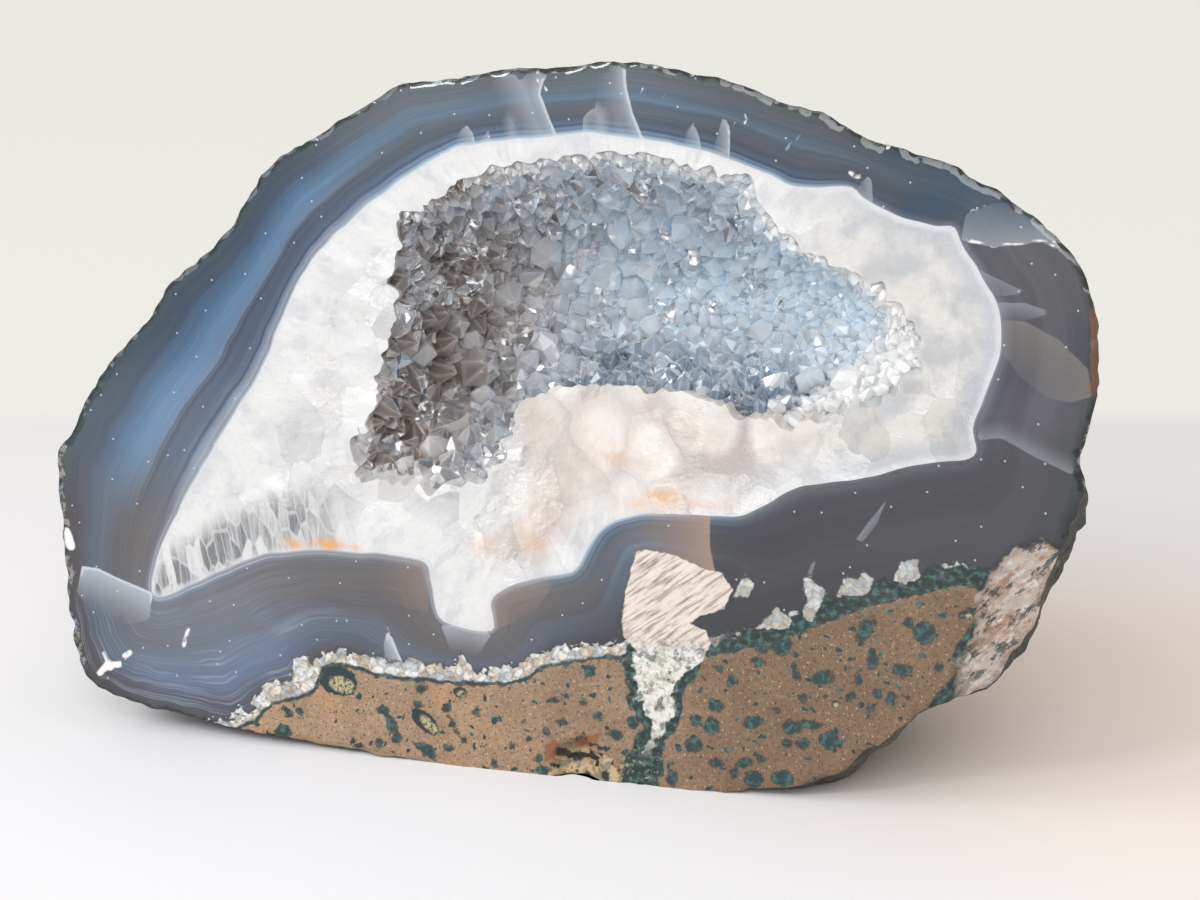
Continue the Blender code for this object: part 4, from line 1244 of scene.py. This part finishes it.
# %% Where the wall appears to be, as the camera sees it against the face
lean_sin, lean_cos = math.sin(LEAN_BACK), math.cos(LEAN_BACK)
eye_x, eye_y, eye_z = np.array(camera.location) / MM + (ORIGIN_U, ORIGIN_BACK, 0)
eye = np.array([eye_x, eye_y * lean_sin + eye_z * lean_cos, eye_y * lean_cos - eye_z * lean_sin])
shrink = eye[2] / (eye[2] - walls[..., 2:])
seen_walls = eye[:2] + (walls[..., :2] - eye[:2]) * shrink
print("the eye in face mm:", eye.round().tolist())

# %% [markdown]
# ## Which points stand where
# The largest are placed one by one, by where each appears in the hollow and its radius. The
# nearest place on the wall carries it. Then small ones fill up the wall, the larger first,
# each kept clear of its neighbours. Small points at the left edge and on the ledge start a
# little way in, because there the quartz layer itself is the edge that is seen.

# %% Place the large points
LARGE_POINTS = [
    ((-17.4, 66.6), 5.0), ((-22.6, 60.6), 3.5), ((-14.3, 75.2), 4.4), ((-26.3, 78.6), 3.3),
    ((-31.5, 60.5), 3.2), ((-1.0, 98.4), 3.7), ((2.9, 94.0), 4.5), ((10.2, 95.4), 3.3),
    ((10.3, 91.0), 3.0), ((-11.4, 98.6), 3.3), ((-13.6, 93.2), 3.0), ((-7.8, 90.2), 3.6),
    ((-3.8, 83.2), 3.1), ((24.1, 87.3), 2.7), ((-0.6, 112.6), 2.3), ((42.6, 75.9), 3.5),
    ((49.8, 76.6), 3.2), ((56.2, 77.0), 3.0), ((-20, 84), 3.2), ((16.5, 88), 2.9),
    ((-9, 104), 2.8), ((31, 84), 2.6), ((40, 86), 2.5), ((2, 86), 2.8),
]
found = []
for spot_seen, size in LARGE_POINTS:
    gap = np.linalg.norm(seen_walls - spot_seen, axis=2)
    k, i = np.unravel_index(int(gap.argmin()), gap.shape)
    towards_eye = Vector(eye - walls[k, i]).normalized()
    way = (Vector(normals[k, i]) + towards_eye * 0.9).normalized()
    found.append((walls[k, i], size, way))
print("large points:", len(found))

# %% Fill the rest of the wall with small ones
SMALLEST, LARGEST = 0.8, 3.0
SPACING = 0.72
TRIES = 42000
BUCKET = 6.0
LEAN = 0.34
draw = random.Random(11)
buckets = {}


def bucket(spot):
    return tuple(int(c // BUCKET) for c in spot)


def is_free(spot, size):
    """True if a point of this size can stand here, clear of those that stand already."""
    x, y, z = bucket(spot)
    around = ((x + i, y + j, z + k) for i in (-1, 0, 1) for j in (-1, 0, 1) for k in (-1, 0, 1))
    for key in around:
        for other, other_size in buckets.get(key, ()):
            if np.linalg.norm(spot - other) < SPACING * (size + other_size):
                return False
    return True


for spot, size, _ in found:
    buckets.setdefault(bucket(spot), []).append((spot, size))
for attempt in range(TRIES):
    k, i = divmod(int(np.searchsorted(shares, draw.random())), len(mouth))
    j = (i + 1) % len(mouth)
    s, t = draw.random(), draw.random()
    spot = (walls[k, i] * (1 - t) + walls[k, j] * t) * (1 - s)
    spot = spot + (walls[k + 1, i] * (1 - t) + walls[k + 1, j] * t) * s
    fewer = 1 - attempt / TRIES
    largest = LARGEST - 1.3 * float(smoothstep(5, 45, spot[0]))
    size = SMALLEST + (largest - SMALLEST) * fewer**1.5 * draw.uniform(0.6, 1)
    if spot[1] > 100:
        size = min(size, 0.7 + 0.13 * spot[2])
    elif spot[0] > -14 and spot[1] > 70:
        size = min(size, 0.75 + 0.2 * spot[2])
    facing_u, facing_v = normals[k, i][:2]
    start = 3.2 if facing_u > 0.55 or facing_v > 0.6 else 1.0
    if spot[2] < start + size * 0.4 or not is_free(spot, size):
        continue
    tilt_by = Vector([draw.gauss(0, LEAN) for _ in range(3)])
    found.append((spot, size, (Vector(normals[k, i]) + tilt_by).normalized()))
    buckets.setdefault(bucket(spot), []).append((spot, size))
print("quartz points:", len(found))

# %% Build all the points as one mesh
HEIGHTS, BLUNTNESS = (1.25, 2.2), (0.75, 1.2)
TIP_SHIFT = 0.14
BROW_WIDTH = 0.44
UNEVEN = 0.24
SAWN_AT = 0.03
spots = np.array([spot for spot, _, _ in found])
sizes = np.array([size for _, size, _ in found])
axes = np.array([tuple(way) for _, _, way in found])
count = len(found)
chance = np.random.default_rng(5)
side = np.cross(axes, chance.normal(size=(count, 3)))
side /= np.linalg.norm(side, axis=1, keepdims=True)
other = np.cross(axes, side)
heights = sizes * chance.uniform(*HEIGHTS, count)
blunt_by = sizes * chance.uniform(*BLUNTNESS, count)
tip_shift = chance.normal(scale=TIP_SHIFT, size=(count, 2)) * sizes[:, None]
tip_base = spots + side * tip_shift[:, :1] + other * tip_shift[:, 1:]
spread_by = chance.uniform(0.86, 1.1, size=(6, count))
rings_of_points = {"foot": [], "shoulder": [], "brow": []}
for corner in range(6):
    turn = corner * math.pi / 3
    outwards = side * math.cos(turn) + other * math.sin(turn)
    outwards *= (sizes * spread_by[corner])[:, None]
    uneven = UNEVEN * (corner % 2)
    shoulder_rise = heights - blunt_by * (1 + uneven)
    brow_rise = heights - blunt_by * (0.36 + uneven * 0.4)
    rings_of_points["foot"].append(spots + outwards - axes * (0.5 * sizes)[:, None])
    rings_of_points["shoulder"].append(spots + outwards + axes * shoulder_rise[:, None])
    rings_of_points["brow"].append(tip_base + outwards * BROW_WIDTH + axes * brow_rise[:, None])
tips = [tip_base + axes * heights[:, None]]
crystal_points = np.stack(sum(rings_of_points.values(), []) + tips, axis=1)
crystal_points[:, :, 2] = np.maximum(crystal_points[:, :, 2], SAWN_AT)
crystal_points[:, :6] = np.minimum(crystal_points[:, :6], [1e9, 1e9, HOLLOW_DEPTH + 2])

# %% Join the corners to faces
corner_count = len(crystal_points[0])
one = [tuple(reversed(range(6)))]
for low in (0, 6):
    one += [(low + k, low + (k + 1) % 6, low + 6 + (k + 1) % 6, low + 6 + k) for k in range(6)]
one += [(12 + k, 12 + (k + 1) % 6, 18) for k in range(6)]
crystal_faces = [tuple(c + corner_count * i for c in face) for i in range(count) for face in one]
crust_mesh = bpy.data.meshes.new("quartz_points")
crust_mesh.from_pydata(to_frame(crystal_points.reshape(-1, 3)), [], crystal_faces)
store(crust_mesh, "foot", np.repeat(spots, corner_count, axis=0))
large = len(LARGE_POINTS)
lots = chance.random(count)
lots[:large] = chance.uniform(0.86, 1.0, large)
store(crust_mesh, "lot", np.repeat(lots, corner_count))
# at each corner of a face, how far it is from the edges at its left and right
on_side = [(1, 0, 0), (0, 1, 0), (0, 1, 0), (1, 0, 0)]
on_tip = [(1, 0, 0), (0, 1, 0), (0, 0, 0)]
beside = [(1, 1, 0)] * 6 + on_side * 12 + on_tip * 6
store(crust_mesh, "beside", np.tile(beside, (count, 1)), domain="CORNER")
CLEAR_FROM, CLEAR_SHARE, CLEAR_SHARE_OF_LARGE = 1.7, 0.35, 0.4
is_clear = (sizes > CLEAR_FROM) & (chance.random(count) < CLEAR_SHARE)
is_clear[:large] = chance.random(large) < CLEAR_SHARE_OF_LARGE
crust_mesh.polygons.foreach_set("material_index", np.repeat(is_clear, len(one)).astype(int))
crust_mesh.validate()
crust = add_object("quartz_points", crust_mesh)
print("mesh of the points:", len(crust_mesh.vertices), "points,", len(crust_mesh.polygons), "faces")

# %% [markdown]
# ## Clear and milky crystal
# Quartz is clear, but a crust of it looks grey to milky, because each point has a cloudy
# root. So the shader lets part of the light through and scatters the rest. The tint comes
# from where the point stands: white near the face, blue deep in, slate on the hollow's
# floor and smoky grey at the left. Each edge gets a painted highlight, a little lighter than
# the faces beside it, and a faint painted glow stands for the light that wanders through the
# whole crust, which would take far more bounces than a render has.

# %% Finish of the quartz points
crystal_finish = Finish("quartz_crystal")
c = crystal_finish
foot = c.stored("foot", vector=True)
u, v, w = c.parts(foot)
lot = c.stored("lot")
beside = c.stored("beside", vector=True)
from_edge = c.maths("MINIMUM", c.parts(beside)[0], c.parts(beside)[1])
deep = c.mix(rgb(140, 128, 121), rgb(228, 234, 243), c.step(u, -28, -10))
deep = c.over(
    deep,
    (rgb(226, 238, 248), c.step(u, 0, 20)),
    (rgb(74, 102, 130), c.step(v, 81, 71) * c.step(u, -12, 2) * 0.9),
)
top_grey = c.step(v, 98, 110) * c.step(u, 50, 20)
deep = c.mix(deep, rgb(212, 219, 228), top_grey)
near_face = c.mix(rgb(236, 234, 232), rgb(226, 214, 208), c.step(v, 80, 72) * c.step(u, 30, 10))
white_to = 1.6 + c.step(u, 34, 56) * 9 + c.step(v, 102, 110) * 4
tone = c.mix(near_face, deep, c.step(w / white_to, 0.9, 1.9))
tone = c.tint(tone, 0.84 + lot * 0.24)
cloud = c.noise(foot, 9)
tone = c.mix(tone, rgb(240, 242, 244), c.step(lot + cloud * 0.3, 1.00, 1.14) * 0.7)
RUSTY_CORNER = (-20, 109, 3)
to_rust = c.vectors("DISTANCE", foot, RUSTY_CORNER, out=1)
# Rust near one corner, and a painted highlight along each crystal's edges.
tone = c.over(
    tone,
    (rgb(112, 88, 60), c.step(to_rust + (cloud - 0.5) * 6, 5.5, 2.5) * 0.9),
    (rgb(240, 243, 246), c.step(from_edge, 0.34, 0.0) * 0.26),
)
# Painted light: a faint glow in the middle of the hollow and by its right edge.
in_middle = c.step(u, -16, -2) * c.step(v, 80, 88) * (1 - top_grey * 0.5)
by_right_edge = c.step(w / white_to, 1.9, 0.9) * c.step(u, 40, 56)
NO_GLOW, BLUE_GLOW, WHITE_GLOW = (0, 0, 0, 1), (0.028, 0.044, 0.054, 1), (0.055, 0.055, 0.052, 1)
glow = c.over(NO_GLOW, (BLUE_GLOW, in_middle), (WHITE_GLOW, by_right_edge))
c.set(Emission_Color=c.tint(glow, 0.55 + lot * 0.9), Emission_Strength=1.0)
c.set(Base_Color=tone, IOR=QUARTZ_IOR, Transmission_Weight=0.52)
c.set(Subsurface_Weight=1.0, Subsurface_Scale=SCATTER_DEPTH, Subsurface_Radius=(1.0, 1.0, 1.0))
gloss_lot = c.maths("FRACT", lot * 7.3)
c.set(Roughness=0.02 + c.step(gloss_lot, 0.5, 0.98) * 0.2)
# the glow is too faint to light anything else, so no rays are aimed at it, which saves time
crystal_finish.material.cycles.emission_sampling = "NONE"

# %% Finish of the clear points
clear_finish = Finish("clear_quartz")
d = clear_finish
haze = d.noise(d.stored("foot", vector=True), 1.0, 2)
d.set(Base_Color=d.mix(rgb(250, 251, 252), rgb(232, 234, 238), d.step(haze, 0.4, 0.6)), IOR=QUARTZ_IOR)
d.set(Transmission_Weight=0.92, Roughness=0.015 + haze * 0.03)
for finish in (crystal_finish, clear_finish):
    crust_mesh.materials.append(finish.material)
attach(crust, "root")
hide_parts("crystal_crust")

# %% [markdown]
# ## Floor and light
# The stone stands on a pale table in front of a warm white wall, far behind it. One large
# plane is both. Behind the stone its tint turns softly to the wall's, which glows a
# little, since a real wall would catch more light than a floor seen from so low. The light
# is a soft window at the left, with a small bright pane in it for the glints on the
# crystals, a wide one in front that reaches into the hollow, and a warm white room that
# fills the shadows. The table is painted a little warmer beside the stone, as painted light
# for the light that went through the stone and falls on it.

# %% Floor
TABLE_END = (0.236, 0.262)
WARM_LIGHT_PAINTED_AT = (0.12, 0.02, 0)
HALF = 6.0
floor_mesh = bpy.data.meshes.new("floor")
floor_corners = [(x * HALF, y * HALF, 0) for x, y in ((-1, -1), (1, -1), (1, 1), (-1, 1))]
floor_mesh.from_pydata(floor_corners, [], [(0, 1, 2, 3)])
floor = add_object("floor", floor_mesh)
floor_finish = Finish("pale_floor")
g = floor_finish
ground_place = g.node("ShaderNodeTexCoord", None, None, out="Object")
x, y, _ = g.parts(ground_place)
away = y * math.cos(CAMERA_TURN) - x * math.sin(CAMERA_TURN)
is_wall = g.step(away, *TABLE_END)
from_painted_warm_light = g.vectors("DISTANCE", ground_place, WARM_LIGHT_PAINTED_AT, out=1)
# Painted light: a warm pool on the table beside the stone.
table = g.mix(rgb(232, 232, 236), rgb(240, 232, 226), g.step(from_painted_warm_light, 0.13, 0.04))
g.set(Base_Color=g.mix(table, rgb(110, 110, 108), is_wall), Roughness=0.6)
g.set(Specular_IOR_Level=0.2, Emission_Strength=1.0)
g.set(Emission_Color=g.mix(NO_GLOW, rgb(212, 212, 207), is_wall))
floor_mesh.materials.append(floor_finish.material)

# %% Lights


def add_light(name, place_at, aim, wide, watts, colour):
    """A soft square light that looks at a point."""
    light = bpy.data.lights.new(name, "AREA")
    light.size = wide
    light.energy = watts
    light.color = colour
    lamp = add_object(name, light)
    lamp.location = place_at
    lamp.rotation_euler = (Vector(aim) - Vector(place_at)).to_track_quat("-Z", "Y").to_euler()


STONE_AT = (0.0, -0.03, 0.06)
add_light("window", (-0.95, -0.62, 0.80), STONE_AT, 0.8, 6.4, (0.80, 0.92, 1.0))
add_light("bright_pane", (-0.50, -1.00, 0.75), STONE_AT, 0.28, 4.4, (0.95, 0.98, 1.0))
add_light("room_front", (0.25, -1.30, 0.85), STONE_AT, 0.9, 12.4, (0.97, 0.98, 1.0))
world = bpy.data.worlds.new("room")
bpy.context.scene.world = world
world.use_nodes = True
room = world.node_tree.nodes["Background"]
room.inputs["Color"].default_value = (1.0, 0.91, 0.82, 1)
room.inputs["Strength"].default_value = 0.64
bpy.context.scene.view_settings.view_transform = "Standard"
